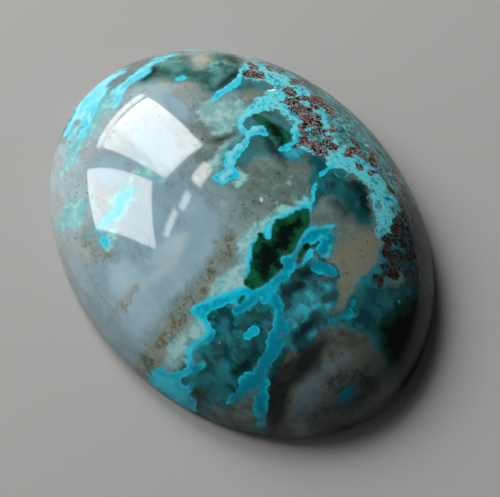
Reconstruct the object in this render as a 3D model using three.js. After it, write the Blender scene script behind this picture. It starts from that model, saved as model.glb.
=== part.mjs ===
// A polished oval cabochon cut from chrysocolla in chalcedony: a domed face, a low girdle and a flat,
// bevelled back, all one solid stone.
// Units are millimetres. The stone lies on its flat back in the XY plane, its dome towards +Z. Its long
// axis runs along X and its short axis along Y, and the origin is the middle of the back.
import * as THREE from "three";

const LENGTH = 40; // along X, over the girdle
const WIDTH = 30; // along Y, over the girdle
const GIRDLE_HEIGHT = 0.8; // top of the upright band round the edge
const DOME_HEIGHT = 7.4; // from the girdle to the crown
const BEVEL = 0.35; // broken edge between the back and the girdle, both ways
const DOME_FULLNESS = 2.2; // 2 gives an ellipsoid, more gives a flatter crown and fuller shoulders
const HAND_CUT_DRIFT = 0.007; // how far a hand-ground outline strays from a true oval, as a share
const DRIFT_LOBES = 3;
const DRIFT_ANGLE = THREE.MathUtils.degToRad(-49); // where the first lobe's phase starts
const SEGMENTS = 96; // round the stone
const DOME_RINGS = 22; // from the girdle to the crown

const STONE_COLOUR = 0x5f9a9c;
const POLISH_ROUGHNESS = 0.12;

// Height of the dome above the girdle at a share of the way out from the crown, 0 to 1.
function domeHeight(share) {
  return DOME_HEIGHT * Math.sqrt(1 - Math.pow(share, DOME_FULLNESS));
}

// The stone's profile as (share of the radius, height), from the middle of the back round to the crown.
function stoneProfile() {
  const backShare = 1 - (2 * BEVEL) / (LENGTH / 2 + WIDTH / 2);
  const profile = [
    new THREE.Vector2(0, 0),
    new THREE.Vector2(backShare, 0),
    new THREE.Vector2(1, BEVEL),
    new THREE.Vector2(1, GIRDLE_HEIGHT),
  ];
  for (let ring = 1; ring < DOME_RINGS; ring += 1) {
    const share = Math.cos((ring / DOME_RINGS) * (Math.PI / 2));
    profile.push(new THREE.Vector2(share, GIRDLE_HEIGHT + domeHeight(share)));
  }
  profile.push(new THREE.Vector2(0, GIRDLE_HEIGHT + DOME_HEIGHT));
  return profile;
}

// How far the hand-ground outline stands out from a true oval at an angle round the stone.
function outlineDrift(angle) {
  return 1 + HAND_CUT_DRIFT * Math.cos(DRIFT_LOBES * angle - DRIFT_ANGLE);
}

// Turns the lathe's round, Y-up form into the oval stone with +Z up.
function ovalStone() {
  const geometry = new THREE.LatheGeometry(stoneProfile(), SEGMENTS);
  geometry.rotateX(Math.PI / 2);
  const place = geometry.getAttribute("position");
  for (let index = 0; index < place.count; index += 1) {
    const x = place.getX(index);
    const y = place.getY(index);
    const drift = outlineDrift(Math.atan2(y, x));
    const oval = [(x * drift * LENGTH) / 2, (y * drift * WIDTH) / 2, place.getZ(index)];
    place.setXYZ(index, ...oval);
  }
  centreOverOrigin(geometry);
  geometry.computeVertexNormals();
  return geometry;
}

// The drift leaves the outline a little to one side, so this brings its box back over the origin.
function centreOverOrigin(geometry) {
  geometry.computeBoundingBox();
  const middle = geometry.boundingBox.getCenter(new THREE.Vector3());
  geometry.translate(-middle.x, -middle.y, 0);
}

function cabochon() {
  const polish = new THREE.MeshStandardMaterial({
    name: "polished chalcedony",
    color: STONE_COLOUR,
    roughness: POLISH_ROUGHNESS,
    metalness: 0,
  });
  const stone = new THREE.Mesh(ovalStone(), polish);
  stone.name = "cabochon";
  return stone;
}

const specimen = new THREE.Group();
specimen.add(cabochon());

export default specimen;
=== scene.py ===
"""A polished oval cabochon of chrysocolla in chalcedony: the stone and the minerals sealed in it.

Laid out as an add-on and run as a script. Everything is in metres in the frame of the packed part; the
outlines of the veins are listed in millimetres as seen from straight above, because that is how a cutter
would draw them on the stone.
"""
import itertools
import math
import random

import bpy
import numpy as np
from mathutils import Matrix, Vector, noise


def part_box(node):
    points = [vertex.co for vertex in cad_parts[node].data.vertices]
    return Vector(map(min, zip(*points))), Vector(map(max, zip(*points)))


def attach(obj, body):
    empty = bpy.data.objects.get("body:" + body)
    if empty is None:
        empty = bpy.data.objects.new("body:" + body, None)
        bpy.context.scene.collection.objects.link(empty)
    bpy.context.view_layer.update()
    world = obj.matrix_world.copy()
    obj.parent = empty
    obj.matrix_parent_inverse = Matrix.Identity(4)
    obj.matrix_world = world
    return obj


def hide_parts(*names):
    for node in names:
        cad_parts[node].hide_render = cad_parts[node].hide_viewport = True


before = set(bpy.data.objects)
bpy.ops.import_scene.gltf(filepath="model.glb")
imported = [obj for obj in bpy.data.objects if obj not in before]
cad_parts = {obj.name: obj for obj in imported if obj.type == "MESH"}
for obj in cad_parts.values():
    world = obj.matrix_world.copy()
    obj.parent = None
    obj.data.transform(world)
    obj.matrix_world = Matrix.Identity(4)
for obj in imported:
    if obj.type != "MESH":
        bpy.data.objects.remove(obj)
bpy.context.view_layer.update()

bl_info = {
    "name": "Chrysocolla Cabochon",
    "version": (1, 0, 0),
    "blender": (4, 5, 0),
    "location": "View3D > Sidebar > Cabochon",
    "description": "Builds a polished chrysocolla cabochon with veins, sealed specks and a plain stage",
    "category": "Add Mesh",
}

NODE = "cabochon"
BODY = "root"
STONE_LOW, STONE_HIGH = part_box(NODE)
MM = 0.001
HALF_LONG = (STONE_HIGH.x - STONE_LOW.x) / 2 / MM
HALF_WIDE = (STONE_HIGH.y - STONE_LOW.y) / 2 / MM


# ---------------------------------------------------------------------------------------------
# Where each mineral lies, in millimetres from straight above: x along the stone, y across it.
# A loop is a closed outline. A stroke is a line whose points also give its half width. A spot is
# an oval: its middle and its two half axes.

TURQUOISE_LOOPS = [
    # the main river, from the fork by the deep pocket down to the girdle
    [(8.2, -2.3), (8.25, -3.2), (8.0, -3.8), (7.6, -4.2), (7.25, -5.1), (7.05, -6.0), (6.85, -6.8),
     (6.65, -7.7), (6.45, -8.4), (6.7, -8.9), (7.15, -8.95), (7.6, -8.7), (8.2, -8.5), (8.8, -8.75),
     (8.95, -9.1), (8.85, -9.7), (8.7, -10.2), (8.9, -10.7), (9.4, -11.0), (9.9, -11.15), (9.8, -11.7),
     (9.3, -12.3), (8.7, -12.65), (8.2, -13.1), (7.8, -13.7), (9.0, -14.1), (10.2, -13.6),
     (11.3, -13.0), (12.5, -12.2), (12.2, -11.7), (11.5, -11.8), (11.3, -11.2), (10.9, -11.7),
     (10.5, -12.0), (10.2, -11.9), (10.5, -11.3), (10.9, -10.8), (10.9, -10.1), (10.5, -10.0),
     (10.1, -10.5), (9.5, -10.5), (9.25, -10.2), (9.35, -9.7), (9.7, -9.2), (9.6, -8.6), (9.2, -8.1),
     (8.5, -8.2), (7.85, -8.0), (7.75, -7.3), (7.9, -6.6), (8.15, -5.8), (8.5, -5.6), (8.8, -6.4),
     (9.15, -5.8), (9.3, -5.1), (9.2, -4.2), (9.1, -3.8), (9.5, -3.8), (9.6, -3.45), (9.9, -3.2),
     (9.4, -2.8), (9.1, -2.4)],
    # the second river, off to the far end
    [(8.6, -2.4), (9.1, -2.5), (9.7, -2.3), (10.5, -2.33), (11.1, -2.7), (11.7, -2.9), (12.6, -2.86),
     (12.7, -3.4), (13.05, -4.0), (13.4, -4.5), (13.9, -5.4), (14.1, -6.0), (14.3, -6.5), (14.8, -6.3),
     (15.3, -6.8), (16.1, -7.2), (16.5, -7.7), (16.8, -8.0), (15.9, -8.5), (15.3, -8.2), (14.8, -7.6),
     (14.5, -8.1), (14.35, -9.2), (14.1, -10.0), (13.8, -9.8), (13.75, -8.7), (13.2, -8.0),
     (13.3, -7.1), (13.1, -6.5), (12.9, -5.7), (12.2, -5.1), (11.9, -4.6), (11.3, -4.1), (10.7, -3.5),
     (10.1, -3.2), (9.4, -3.5), (8.8, -3.2)],
    # the ridge along the far bank of the deep pocket
    [(6.43, 5.0), (6.2, 4.5), (6.1, 4.0), (5.75, 3.3), (5.7, 2.7), (5.9, 2.2), (6.2, 1.7), (6.8, 0.95),
     (7.05, 0.5), (7.0, 0.1), (6.85, -0.35), (7.15, -0.7), (7.6, -0.78), (7.85, -1.25), (8.05, -1.9),
     (8.2, -2.6), (9.3, -2.7), (9.3, -2.3), (9.05, -2.05), (8.85, -1.6), (8.67, -1.05), (8.57, -0.5),
     (8.2, 0.15), (7.9, 0.4), (7.55, 0.85), (7.15, 1.5), (7.0, 2.0), (7.1, 2.4), (7.2, 2.8),
     (6.95, 3.4), (6.76, 4.0), (6.65, 4.6)],
    [(7.4, 2.5), (7.7, 2.2), (8.2, 1.7), (8.4, 1.2), (8.5, 0.55), (8.2, 0.3), (8.1, 0.85), (7.7, 1.3),
     (7.5, 1.9)],
    # two lobes that lie deep behind the ridge
    [(6.8, 4.4), (7.3, 4.5), (7.8, 3.9), (8.3, 3.5), (8.7, 3.0), (8.5, 2.5), (8.1, 2.5), (7.6, 2.5),
     (7.2, 3.0), (6.9, 3.7)],
    [(8.6, 2.1), (9.1, 2.5), (9.5, 2.85), (10.0, 2.9), (10.4, 2.5), (10.0, 1.9), (9.4, 1.3), (8.7, 1.4)],
    # the near bank of the deep pocket, with its small hook
    [(2.8, 4.1), (2.95, 4.32), (3.3, 4.25), (3.8, 4.0), (4.1, 3.75), (4.0, 2.9), (4.05, 2.0),
     (4.0, 1.0), (4.15, 0.5), (4.6, 0.1), (5.05, -0.2), (5.1, -0.5), (4.75, -0.76), (4.3, -0.65),
     (4.0, -0.2), (3.65, 0.4), (3.5, 1.1), (3.45, 2.0), (3.5, 2.9), (3.45, 3.6), (3.3, 4.05)],
    # islands
    [(10.8, -5.2), (11.3, -5.25), (11.45, -5.7), (11.3, -6.2), (11.05, -6.7), (10.8, -6.3), (10.55, -5.8)],
    [(-13.7, 2.2), (-13.3, 2.3), (-13.15, 2.0), (-13.4, 1.55), (-13.75, 1.6)],
    # the dash beyond the copper-brown clusters
    [(12.8, 3.0), (13.2, 2.6), (13.7, 2.2), (13.8, 1.7), (13.6, 1.2), (13.6, 0.2), (13.35, 0.1),
     (13.4, 1.2), (13.3, 1.9), (13.0, 2.3)],
    # the small ribbon on the crown
    [(-4.67, 5.35), (-5.0, 4.95), (-5.15, 4.4), (-5.1, 3.8), (-4.9, 3.4), (-4.6, 3.0), (-4.3, 2.4),
     (-4.05, 1.7), (-3.9, 1.0), (-3.6, 0.5), (-3.3, 0.15), (-2.9, 0.1), (-2.6, -0.3), (-2.5, -0.9),
     (-2.45, -1.35), (-2.1, -1.5), (-1.75, -1.4), (-1.35, -1.2), (-1.3, -0.4), (-1.25, 0.3),
     (-1.35, 0.6), (-1.9, 0.65), (-2.5, 0.75), (-3.0, 1.25), (-3.1, 1.9), (-3.5, 2.3), (-3.8, 2.9),
     (-4.2, 3.4), (-4.35, 4.1), (-4.3, 4.4), (-3.9, 4.5), (-3.65, 4.75), (-3.9, 5.05), (-4.4, 5.05)],
    # the two banks of the small green pocket
    [(-6.95, 5.6), (-6.85, 4.7), (-6.55, 3.8), (-6.2, 3.3), (-5.6, 3.05), (-5.0, 3.2), (-5.15, 3.6),
     (-5.6, 3.55), (-6.0, 3.85), (-6.35, 4.5), (-6.5, 5.2), (-6.6, 5.7)],
    [(-3.3, 7.3), (-2.9, 6.9), (-2.45, 6.6), (-2.3, 6.0), (-2.25, 5.3), (-2.1, 4.75), (-1.85, 4.6),
     (-1.75, 5.2), (-1.5, 5.6), (-1.8, 6.2), (-1.7, 6.9), (-2.2, 7.4)],
    # the ribbon beside the dark green patch
    [(-12.6, 7.6), (-12.0, 7.0), (-11.45, 6.6), (-11.1, 6.2), (-10.9, 5.7), (-10.6, 5.1), (-10.4, 4.5),
     (-10.3, 3.8), (-10.2, 3.3), (-9.8, 3.0), (-9.4, 2.8), (-9.5, 3.4), (-9.7, 4.2), (-9.8, 5.0),
     (-10.1, 5.7), (-10.5, 6.3), (-11.0, 6.9), (-11.5, 7.5), (-12.0, 7.9), (-12.5, 7.9)],
    # the streaks down the near end
    [(-17.4, 3.3), (-17.7, 2.1), (-17.6, 1.2), (-17.35, 0.8), (-17.1, 0.0), (-16.85, -1.0),
     (-16.6, -2.0), (-16.35, -2.9), (-16.1, -3.4), (-15.6, -3.3), (-15.0, -3.8), (-14.4, -4.3),
     (-13.9, -4.6), (-14.3, -3.8), (-14.8, -3.1), (-15.3, -2.55), (-15.7, -1.9), (-15.9, -1.1),
     (-15.8, -0.4), (-16.0, 0.1), (-16.6, 0.7), (-16.95, 1.2), (-17.0, 2.1), (-17.1, 3.3)],
    [(-18.2, -0.9), (-18.6, -1.6), (-18.8, -2.7), (-18.6, -4.2), (-18.4, -5.4), (-17.9, -6.4),
     (-17.0, -6.9), (-16.6, -7.4), (-16.3, -8.0), (-15.9, -8.6), (-15.4, -8.9), (-15.2, -8.4),
     (-15.6, -7.8), (-15.9, -7.3), (-15.5, -7.1), (-15.0, -7.3), (-15.1, -8.0), (-14.8, -8.6),
     (-14.3, -8.8), (-14.5, -8.0), (-14.7, -7.5), (-14.4, -7.2), (-14.1, -7.7), (-13.9, -8.6),
     (-13.45, -8.8), (-13.5, -8.0), (-13.8, -7.2), (-14.3, -6.55), (-14.8, -6.0), (-15.3, -5.4),
     (-16.0, -4.85), (-16.4, -4.1), (-16.9, -3.4), (-17.5, -3.3), (-17.8, -2.6), (-17.9, -2.0),
     (-17.75, -1.3)],
    # the streak and its bits in the milky side
    [(-5.6, -7.4), (-5.2, -7.3), (-4.9, -8.0), (-4.7, -8.6), (-4.3, -9.0), (-4.0, -9.5), (-4.1, -10.1),
     (-4.2, -10.9), (-4.6, -10.8), (-4.9, -10.1), (-5.0, -9.5), (-5.4, -9.0), (-5.8, -8.4), (-5.7, -7.9)],
    [(-3.9, -11.4), (-3.3, -11.2), (-2.7, -11.3), (-2.4, -11.6), (-2.9, -11.8), (-3.4, -12.0), (-3.6, -11.8)],
]
TURQUOISE_STROKES = [
    # the thread from the brown rim to the deep pocket
    [(1.15, 8.6, 0.1), (1.3, 8.0, 0.12), (1.5, 7.4, 0.25), (1.7, 6.8, 0.16), (1.9, 6.2, 0.08),
     (2.4, 5.7, 0.14), (2.9, 5.2, 0.1), (3.5, 4.7, 0.08), (3.9, 4.2, 0.1), (4.5, 3.8, 0.05)],
    [(4.35, -1.1, 0.15), (4.7, -1.7, 0.22), (5.3, -2.3, 0.25), (6.0, -2.8, 0.25), (6.5, -3.3, 0.2),
     (6.9, -3.8, 0.15)],
    [(9.9, 7.7, 0.06), (10.5, 7.1, 0.08), (11.1, 6.4, 0.08), (11.5, 5.4, 0.1), (11.9, 4.0, 0.08)],
    [(-4.1, -11.2, 0.08), (-4.4, -11.7, 0.14), (-4.5, -12.2, 0.08)],
    [(18.4, -0.6, 0.12), (18.5, -1.3, 0.22), (18.65, -2.0, 0.1)],
    [(-14.2, -7.4, 0.16), (-13.7, -8.4, 0.08), (-13.3, -9.1, 0.03)],
    [(4.8, 3.2, 0.12), (4.6, 2.95, 0.1), (4.8, 2.7, 0.12), (5.0, 2.95, 0.1), (4.8, 3.2, 0.12)],
    [(4.4, 1.9, 0.08), (4.65, 1.6, 0.12), (4.6, 1.3, 0.08)],
]

# paler, mint to sky-blue, with a soft edge
PALE_LOOPS = [
    [(3.3, 4.2), (3.4, 3.6), (3.45, 2.6), (2.8, 2.05), (2.9, 1.5), (3.3, 1.0), (3.4, 0.3), (3.25, -0.5),
     (3.4, -1.3), (3.75, -2.1), (4.1, -2.8), (4.9, -3.4), (5.6, -4.0), (5.85, -4.8), (5.7, -5.6),
     (6.1, -6.4), (6.4, -6.9), (6.8, -6.8), (7.1, -5.9), (7.3, -5.0), (7.6, -4.2), (7.1, -3.9),
     (6.6, -3.3), (6.0, -2.6), (5.2, -2.1), (4.5, -1.3), (4.1, -0.7), (4.0, 0.4), (3.9, 1.5), (3.9, 3.5)],
    [(7.9, -8.8), (8.5, -8.65), (8.9, -9.1), (8.8, -9.6), (8.5, -10.3), (8.8, -10.9), (9.05, -11.4),
     (9.0, -12.0), (8.5, -12.2), (8.0, -12.0), (7.5, -11.6), (7.4, -11.0), (7.7, -10.3), (7.9, -9.7),
     (7.5, -9.2)],
    [(-8.7, -11.4), (-7.9, -11.1), (-7.2, -10.7), (-6.4, -11.2), (-6.0, -12.0), (-6.3, -12.8),
     (-6.8, -13.3), (-7.6, -13.7), (-8.2, -13.5), (-8.3, -12.9), (-8.6, -12.3), (-8.85, -11.9)],
    [(-16.2, -3.6), (-15.2, -3.9), (-14.3, -4.9), (-13.4, -6.3), (-12.7, -7.6), (-12.0, -8.8),
     (-11.5, -9.8), (-11.5, -10.9), (-12.1, -10.9), (-12.9, -9.9), (-13.4, -9.2), (-13.7, -8.2),
     (-14.2, -6.9), (-14.9, -6.2), (-15.6, -5.5), (-16.2, -4.8)],
    [(-7.2, -5.2), (-6.2, -5.4), (-5.2, -5.0), (-4.5, -4.8), (-4.6, -5.6), (-5.4, -6.1), (-6.3, -6.3),
     (-7.0, -6.0)],
    [(-6.9, -5.5), (-6.4, -6.3), (-6.3, -7.0), (-5.5, -7.2), (-4.6, -7.5), (-4.1, -8.5), (-3.7, -9.4),
     (-3.3, -10.2), (-2.6, -10.6), (-2.2, -11.2), (-2.1, -11.7), (-2.6, -11.4), (-3.6, -11.2),
     (-4.3, -11.3), (-5.0, -10.8), (-5.6, -9.6), (-6.2, -8.6), (-6.6, -7.5)],
    [(-9.3, 2.8), (-9.0, 3.4), (-8.9, 4.4), (-8.4, 5.0), (-7.7, 5.2), (-7.0, 4.8), (-6.6, 3.9),
     (-6.3, 3.3), (-5.9, 2.6), (-5.7, 1.8), (-6.1, 1.2), (-7.0, 0.9), (-8.2, 0.9), (-9.2, 1.2),
     (-9.9, 1.9)],
    [(-19.4, 4.5), (-18.8, 6.2), (-17.7, 7.9), (-16.2, 9.1), (-15.4, 8.9), (-15.2, 8.0), (-16.2, 7.0),
     (-16.8, 6.0), (-17.1, 5.0), (-17.8, 4.6)],
    [(-17.1, 3.4), (-17.0, 1.2), (-17.5, 1.2), (-17.8, 2.2), (-17.7, 3.3)],
]
PALE_STROKES = [
    [(-4.95, 3.1, 0.08), (-4.85, 2.2, 0.12), (-4.65, 1.3, 0.15), (-4.2, 0.5, 0.2), (-3.8, -0.3, 0.25),
     (-3.4, -1.0, 0.25), (-2.9, -0.9, 0.2)],
    [(-13.9, 6.0, 0.2), (-13.5, 5.3, 0.2), (-13.1, 4.7, 0.15)],
    [(-1.4, 0.7, 0.3), (-0.9, 0.5, 0.3), (-0.8, 0.0, 0.3)],
    [(-14.6, -5.8, 0.35), (-13.6, -7.6, 0.45), (-12.7, -9.3, 0.4), (-12.0, -10.5, 0.25)],
    [(-18.9, -1.2, 0.4), (-19.1, -3.0, 0.5), (-18.7, -5.4, 0.5), (-17.4, -7.6, 0.5)],
]

# dark, see-through teal
TEAL_LOOPS = [
    [(9.3, -3.7), (10.0, -3.2), (10.7, -3.5), (11.3, -4.1), (11.9, -4.7), (12.9, -5.7), (13.2, -6.6),
     (13.2, -8.0), (13.7, -8.8), (13.8, -9.9), (13.4, -11.2), (12.5, -12.2), (11.0, -12.9),
     (10.0, -12.8), (9.8, -11.4), (9.4, -10.2), (9.7, -9.2), (9.3, -8.2), (7.9, -8.1), (7.8, -7.2),
     (8.0, -6.4), (8.8, -6.4), (9.25, -5.6), (9.25, -4.6)],
    [(11.6, 5.3), (12.4, 5.6), (12.9, 6.5), (12.7, 7.6), (12.2, 8.4), (12.9, 9.6), (14.2, 9.8),
     (15.0, 8.6), (15.2, 7.0), (15.4, 5.9), (16.0, 4.9), (17.0, 4.2), (18.5, 4.0), (19.0, 3.2),
     (17.5, 3.0), (16.2, 2.4), (15.2, 2.0), (14.6, 1.2), (14.0, 0.9), (13.7, 1.2), (13.0, 2.4),
     (12.4, 3.4), (12.0, 4.4)],
    [(1.7, 8.5), (2.2, 8.9), (2.9, 8.7), (3.3, 9.3), (3.9, 9.75), (4.4, 9.7), (5.0, 9.3), (6.0, 8.9),
     (7.0, 8.6), (7.8, 8.2), (7.2, 7.3), (5.8, 7.0), (4.6, 6.8), (3.9, 6.2), (3.6, 5.6), (3.9, 4.6),
     (3.2, 5.2), (2.5, 5.8), (2.0, 6.5), (1.8, 7.4)],
    [(-4.2, 5.0), (-3.6, 5.1), (-2.6, 5.2), (-2.2, 4.6), (-1.9, 3.9), (-2.1, 3.0), (-1.9, 2.0),
     (-1.6, 1.2), (-2.0, 0.8), (-2.6, 0.8), (-3.0, 1.4), (-3.2, 2.0), (-3.8, 2.8), (-4.2, 3.5)],
    [(-0.5, 7.4), (0.3, 7.9), (1.2, 7.9), (1.5, 7.2), (1.8, 6.4), (2.2, 5.7), (1.6, 5.7), (0.9, 6.2),
     (0.2, 6.3), (-0.4, 6.5)],
    [(-6.3, 5.0), (-5.7, 5.1), (-5.1, 4.9), (-5.2, 4.2), (-5.5, 3.8), (-6.1, 4.2)],
    [(-6.3, 6.9), (-5.0, 7.3), (-4.0, 7.4), (-3.2, 7.0), (-2.6, 6.5), (-3.6, 6.3), (-4.4, 6.1),
     (-5.0, 5.8), (-5.8, 5.5), (-6.4, 5.6)],
    [(-10.8, 6.9), (-10.4, 6.2), (-9.9, 5.5), (-9.4, 5.5), (-9.1, 6.3), (-8.7, 6.9), (-8.4, 7.5),
     (-8.4, 8.1), (-8.9, 8.2), (-9.5, 7.9), (-9.9, 7.3)],
]
TEAL_STROKES = [
    [(-4.75, 2.9, 0.1), (-4.5, 2.0, 0.2), (-4.1, 1.0, 0.25), (-3.5, 0.3, 0.2), (-3.1, -0.5, 0.1)],
]

# smoky green stone towards the near end
SMOKY_GREEN_LOOPS = [
    [(-14.9, 7.3), (-14.0, 7.9), (-13.0, 7.9), (-12.6, 7.3), (-12.0, 6.9), (-11.2, 6.2), (-10.9, 5.5),
     (-10.5, 4.6), (-10.3, 3.6), (-10.9, 3.0), (-12.0, 2.9), (-12.8, 2.4), (-13.6, 1.3), (-14.5, 0.8),
     (-15.0, 0.0), (-15.5, -0.7), (-15.9, -0.2), (-16.6, 0.8), (-17.0, 1.5), (-17.0, 3.0),
     (-16.0, 3.9), (-15.0, 3.6), (-14.0, 3.4), (-13.4, 4.4), (-14.0, 5.6), (-15.2, 6.1)],
]

# bluer, mottled veils in the clear stone beyond the ridge
VEIL_LOOPS = [
    [(-1.9, 6.6), (-1.0, 6.9), (-0.4, 6.6), (-0.2, 6.0), (-0.3, 5.3), (-0.9, 4.8), (-1.8, 4.6),
     (-2.0, 5.2), (-1.8, 5.8)],
    [(8.5, 2.3), (9.3, 2.1), (9.4, 2.6), (9.9, 2.8), (10.4, 2.5), (10.0, 1.9), (10.0, 1.3), (10.5, 2.0),
     (11.0, 2.3), (12.0, 2.1), (12.7, 1.2), (13.0, 0.4), (13.3, -0.3), (13.9, -0.9), (14.3, -2.0),
     (14.3, -2.9), (14.1, -3.6), (14.2, -4.6), (14.6, -5.6), (14.3, -6.2), (13.6, -5.0), (12.8, -3.6),
     (12.7, -2.9), (11.7, -2.9), (10.5, -2.35), (9.4, -2.3), (8.95, -1.6), (8.6, -0.5), (8.5, 0.6),
     (8.4, 1.4)],
]
VEIL_STROKES = [
    [(7.2, 3.6, 0.4), (7.9, 2.7, 0.5), (8.7, 2.1, 0.4)],
    [(9.4, -6.4, 0.3), (9.8, -6.9, 0.2)],
    [(10.3, -4.4, 0.3), (10.8, -4.9, 0.3)],
    [(11.0, -8.0, 0.4), (11.6, -8.4, 0.3)],
    [(8.3, -6.8, 0.3), (8.6, -7.6, 0.3), (9.4, -7.9, 0.2)],
    [(9.6, 2.5, 0.2), (9.9, 2.2, 0.3)],
]

# where the turquoise runs deeper and darker
DEEP_STROKES = [
    [(6.5, 4.4, 0.1), (6.3, 3.2, 0.35), (6.5, 2.0, 0.3), (7.2, 0.9, 0.3), (7.7, -0.2, 0.35),
     (8.3, -1.4, 0.35), (8.8, -2.6, 0.3)],
    [(9.6, -2.8, 0.3), (10.8, -2.9, 0.35), (12.2, -3.7, 0.5), (13.0, -4.9, 0.5), (13.7, -6.2, 0.5),
     (14.2, -7.4, 0.5), (14.2, -9.2, 0.3)],
    [(15.0, -7.4, 0.2), (16.4, -7.9, 0.2)],
    [(9.4, -8.6, 0.2), (9.5, -9.8, 0.2), (10.5, -10.6, 0.3), (11.2, -11.4, 0.2)],
    [(8.8, -3.9, 0.2), (8.9, -5.7, 0.3)],
    [(7.3, 4.2, 0.4), (7.8, 3.4, 0.5), (8.3, 2.9, 0.4)],
    [(8.7, 1.7, 0.4), (9.3, 2.2, 0.4), (10.1, 2.4, 0.3)],
    [(18.4, -0.4, 0.3), (18.6, -2.1, 0.3)],
    [(13.0, 2.6, 0.2), (13.5, 1.2, 0.3), (13.5, 0.1, 0.2)],
    [(9.9, 7.7, 0.4), (11.1, 6.4, 0.4), (11.5, 5.4, 0.4), (11.9, 4.0, 0.4)],
]

# the lightest lips of the ribbons
LIGHT_STROKES = [
    [(-4.85, 5.0, 0.1), (-4.95, 4.2, 0.15), (-4.6, 3.4, 0.12), (-4.1, 2.3, 0.2), (-3.6, 1.1, 0.2),
     (-2.9, 0.5, 0.15), (-2.2, 0.0, 0.2), (-1.8, -0.9, 0.25)],
    [(-6.95, 6.4, 0.15), (-6.75, 4.9, 0.12), (-6.4, 3.8, 0.12), (-5.7, 3.25, 0.12)],
    [(2.85, 4.2, 0.08), (3.4, 4.15, 0.1), (3.6, 3.4, 0.12), (3.6, 2.0, 0.15), (3.65, 0.9, 0.12),
     (4.2, 0.0, 0.12), (4.9, -0.45, 0.08)],
    [(4.4, -1.2, 0.1), (5.0, -2.1, 0.15), (6.2, -3.1, 0.15)],
    [(6.4, 4.7, 0.06), (6.0, 3.5, 0.1), (6.0, 2.4, 0.1), (6.7, 1.2, 0.1), (7.1, 0.2, 0.1)],
    [(7.55, 2.35, 0.1), (8.1, 1.6, 0.14), (8.35, 0.7, 0.1)],
    [(7.8, 4.0, 0.12), (8.4, 3.3, 0.15), (8.6, 2.7, 0.15)],
    [(7.6, -4.5, 0.1), (7.15, -6.0, 0.12), (6.8, -7.5, 0.12), (6.55, -8.4, 0.1), (7.4, -8.8, 0.1),
     (8.7, -8.5, 0.1), (9.1, -9.2, 0.15), (8.95, -10.2, 0.1), (9.6, -11.0, 0.08)],
    [(-18.6, -1.6, 0.15), (-18.6, -3.6, 0.25), (-18.0, -5.6, 0.2), (-16.9, -6.9, 0.15)],
    [(-17.5, 1.2, 0.1), (-16.9, -0.8, 0.15), (-16.4, -2.6, 0.15), (-15.4, -3.2, 0.12)],
    [(-12.4, 7.3, 0.1), (-11.2, 6.4, 0.12), (-10.6, 5.0, 0.1), (-10.2, 3.6, 0.1)],
    [(8.4, -13.6, 0.25), (9.6, -12.9, 0.3), (11.2, -12.6, 0.2)],
]

# puffs where a veil, a cloud or a pocket's green is lighter
PUFF_SPOTS = [
    (11.5, -1.6, 0.7, 0.8), (10.9, -0.3, 0.6, 0.5), (12.2, 0.7, 0.4, 0.6), (13.6, -1.6, 0.4, 0.7),
    (9.4, 1.7, 0.3, 0.5), (10.9, 1.7, 0.3, 0.4), (10.2, -1.0, 0.4, 0.5), (12.6, -2.4, 0.6, 0.3),
    (-15.2, 2.6, 1.3, 0.9), (-1.2, 5.8, 0.8, 0.9), (11.9, -0.4, 0.2, 0.6), (1.0, -7.7, 1.0, 1.9),
    (1.2, -12.0, 2.2, 1.3), (3.3, -6.0, 0.8, 1.3), (4.7, -8.8, 0.7, 1.6), (4.9, -12.2, 0.7, 1.6),
    (7.4, -3.0, 0.8, 0.9), (7.3, -1.7, 0.4, 0.5), (4.5, 3.3, 0.4, 0.5), (-5.6, 5.1, 0.6, 0.35),
    (-3.0, 6.2, 0.6, 0.3), (5.4, -1.7, 0.5, 0.35), (6.6, 0.9, 0.35, 0.5),
]

# green so deep that it turns black towards the middle
GREEN_LOOPS = [
    [(-6.35, 4.95), (-6.1, 5.3), (-5.4, 5.7), (-4.86, 5.8), (-4.2, 6.3), (-3.5, 6.45), (-2.85, 6.5),
     (-2.5, 6.1), (-2.35, 5.5), (-2.3, 5.2), (-3.0, 5.15), (-3.7, 5.15), (-4.4, 5.1), (-4.7, 5.35),
     (-5.05, 4.95), (-5.5, 4.9), (-6.0, 4.8)],
    [(4.1, 3.7), (4.5, 3.7), (5.2, 3.2), (5.6, 2.9), (5.8, 2.3), (6.2, 1.7), (6.8, 0.95), (7.0, 0.5),
     (6.9, 0.0), (6.8, -0.3), (7.1, -0.7), (7.6, -0.8), (7.9, -1.3), (8.05, -1.9), (8.2, -2.6),
     (8.2, -3.2), (8.1, -3.7), (7.9, -4.0), (7.4, -4.1), (7.1, -3.9), (6.8, -3.5), (6.5, -3.0),
     (6.0, -2.6), (5.3, -2.2), (4.86, -1.8), (4.5, -1.2), (4.2, -0.8), (4.8, -0.75), (5.1, -0.5),
     (5.05, -0.2), (4.6, 0.1), (4.1, 0.5), (3.95, 1.0), (4.0, 2.0), (3.95, 2.9)],
    # the far pocket runs black out to the girdle: partly a dark inclusion, partly painted shadow on the side
    # that faces away from the light
    [(13.3, 11.5), (13.6, 9.6), (13.9, 8.4), (14.2, 7.2), (14.5, 6.2), (14.8, 5.0), (15.3, 4.0),
     (16.2, 3.4), (17.4, 3.3), (18.6, 3.6), (20.5, 4.0), (21.5, 8.0), (18.0, 13.0), (14.0, 13.5)],
]
GREEN_STROKES = [
    [(7.05, 2.0, 0.12), (7.3, 1.4, 0.16), (7.9, 0.55, 0.1)],
    [(8.25, -4.9, 0.12), (8.4, -5.2, 0.15)],
    [(11.6, -11.5, 0.1), (12.2, -11.2, 0.15)],
    [(7.2, -3.9, 0.15), (7.6, -3.95, 0.15)],
]

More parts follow.
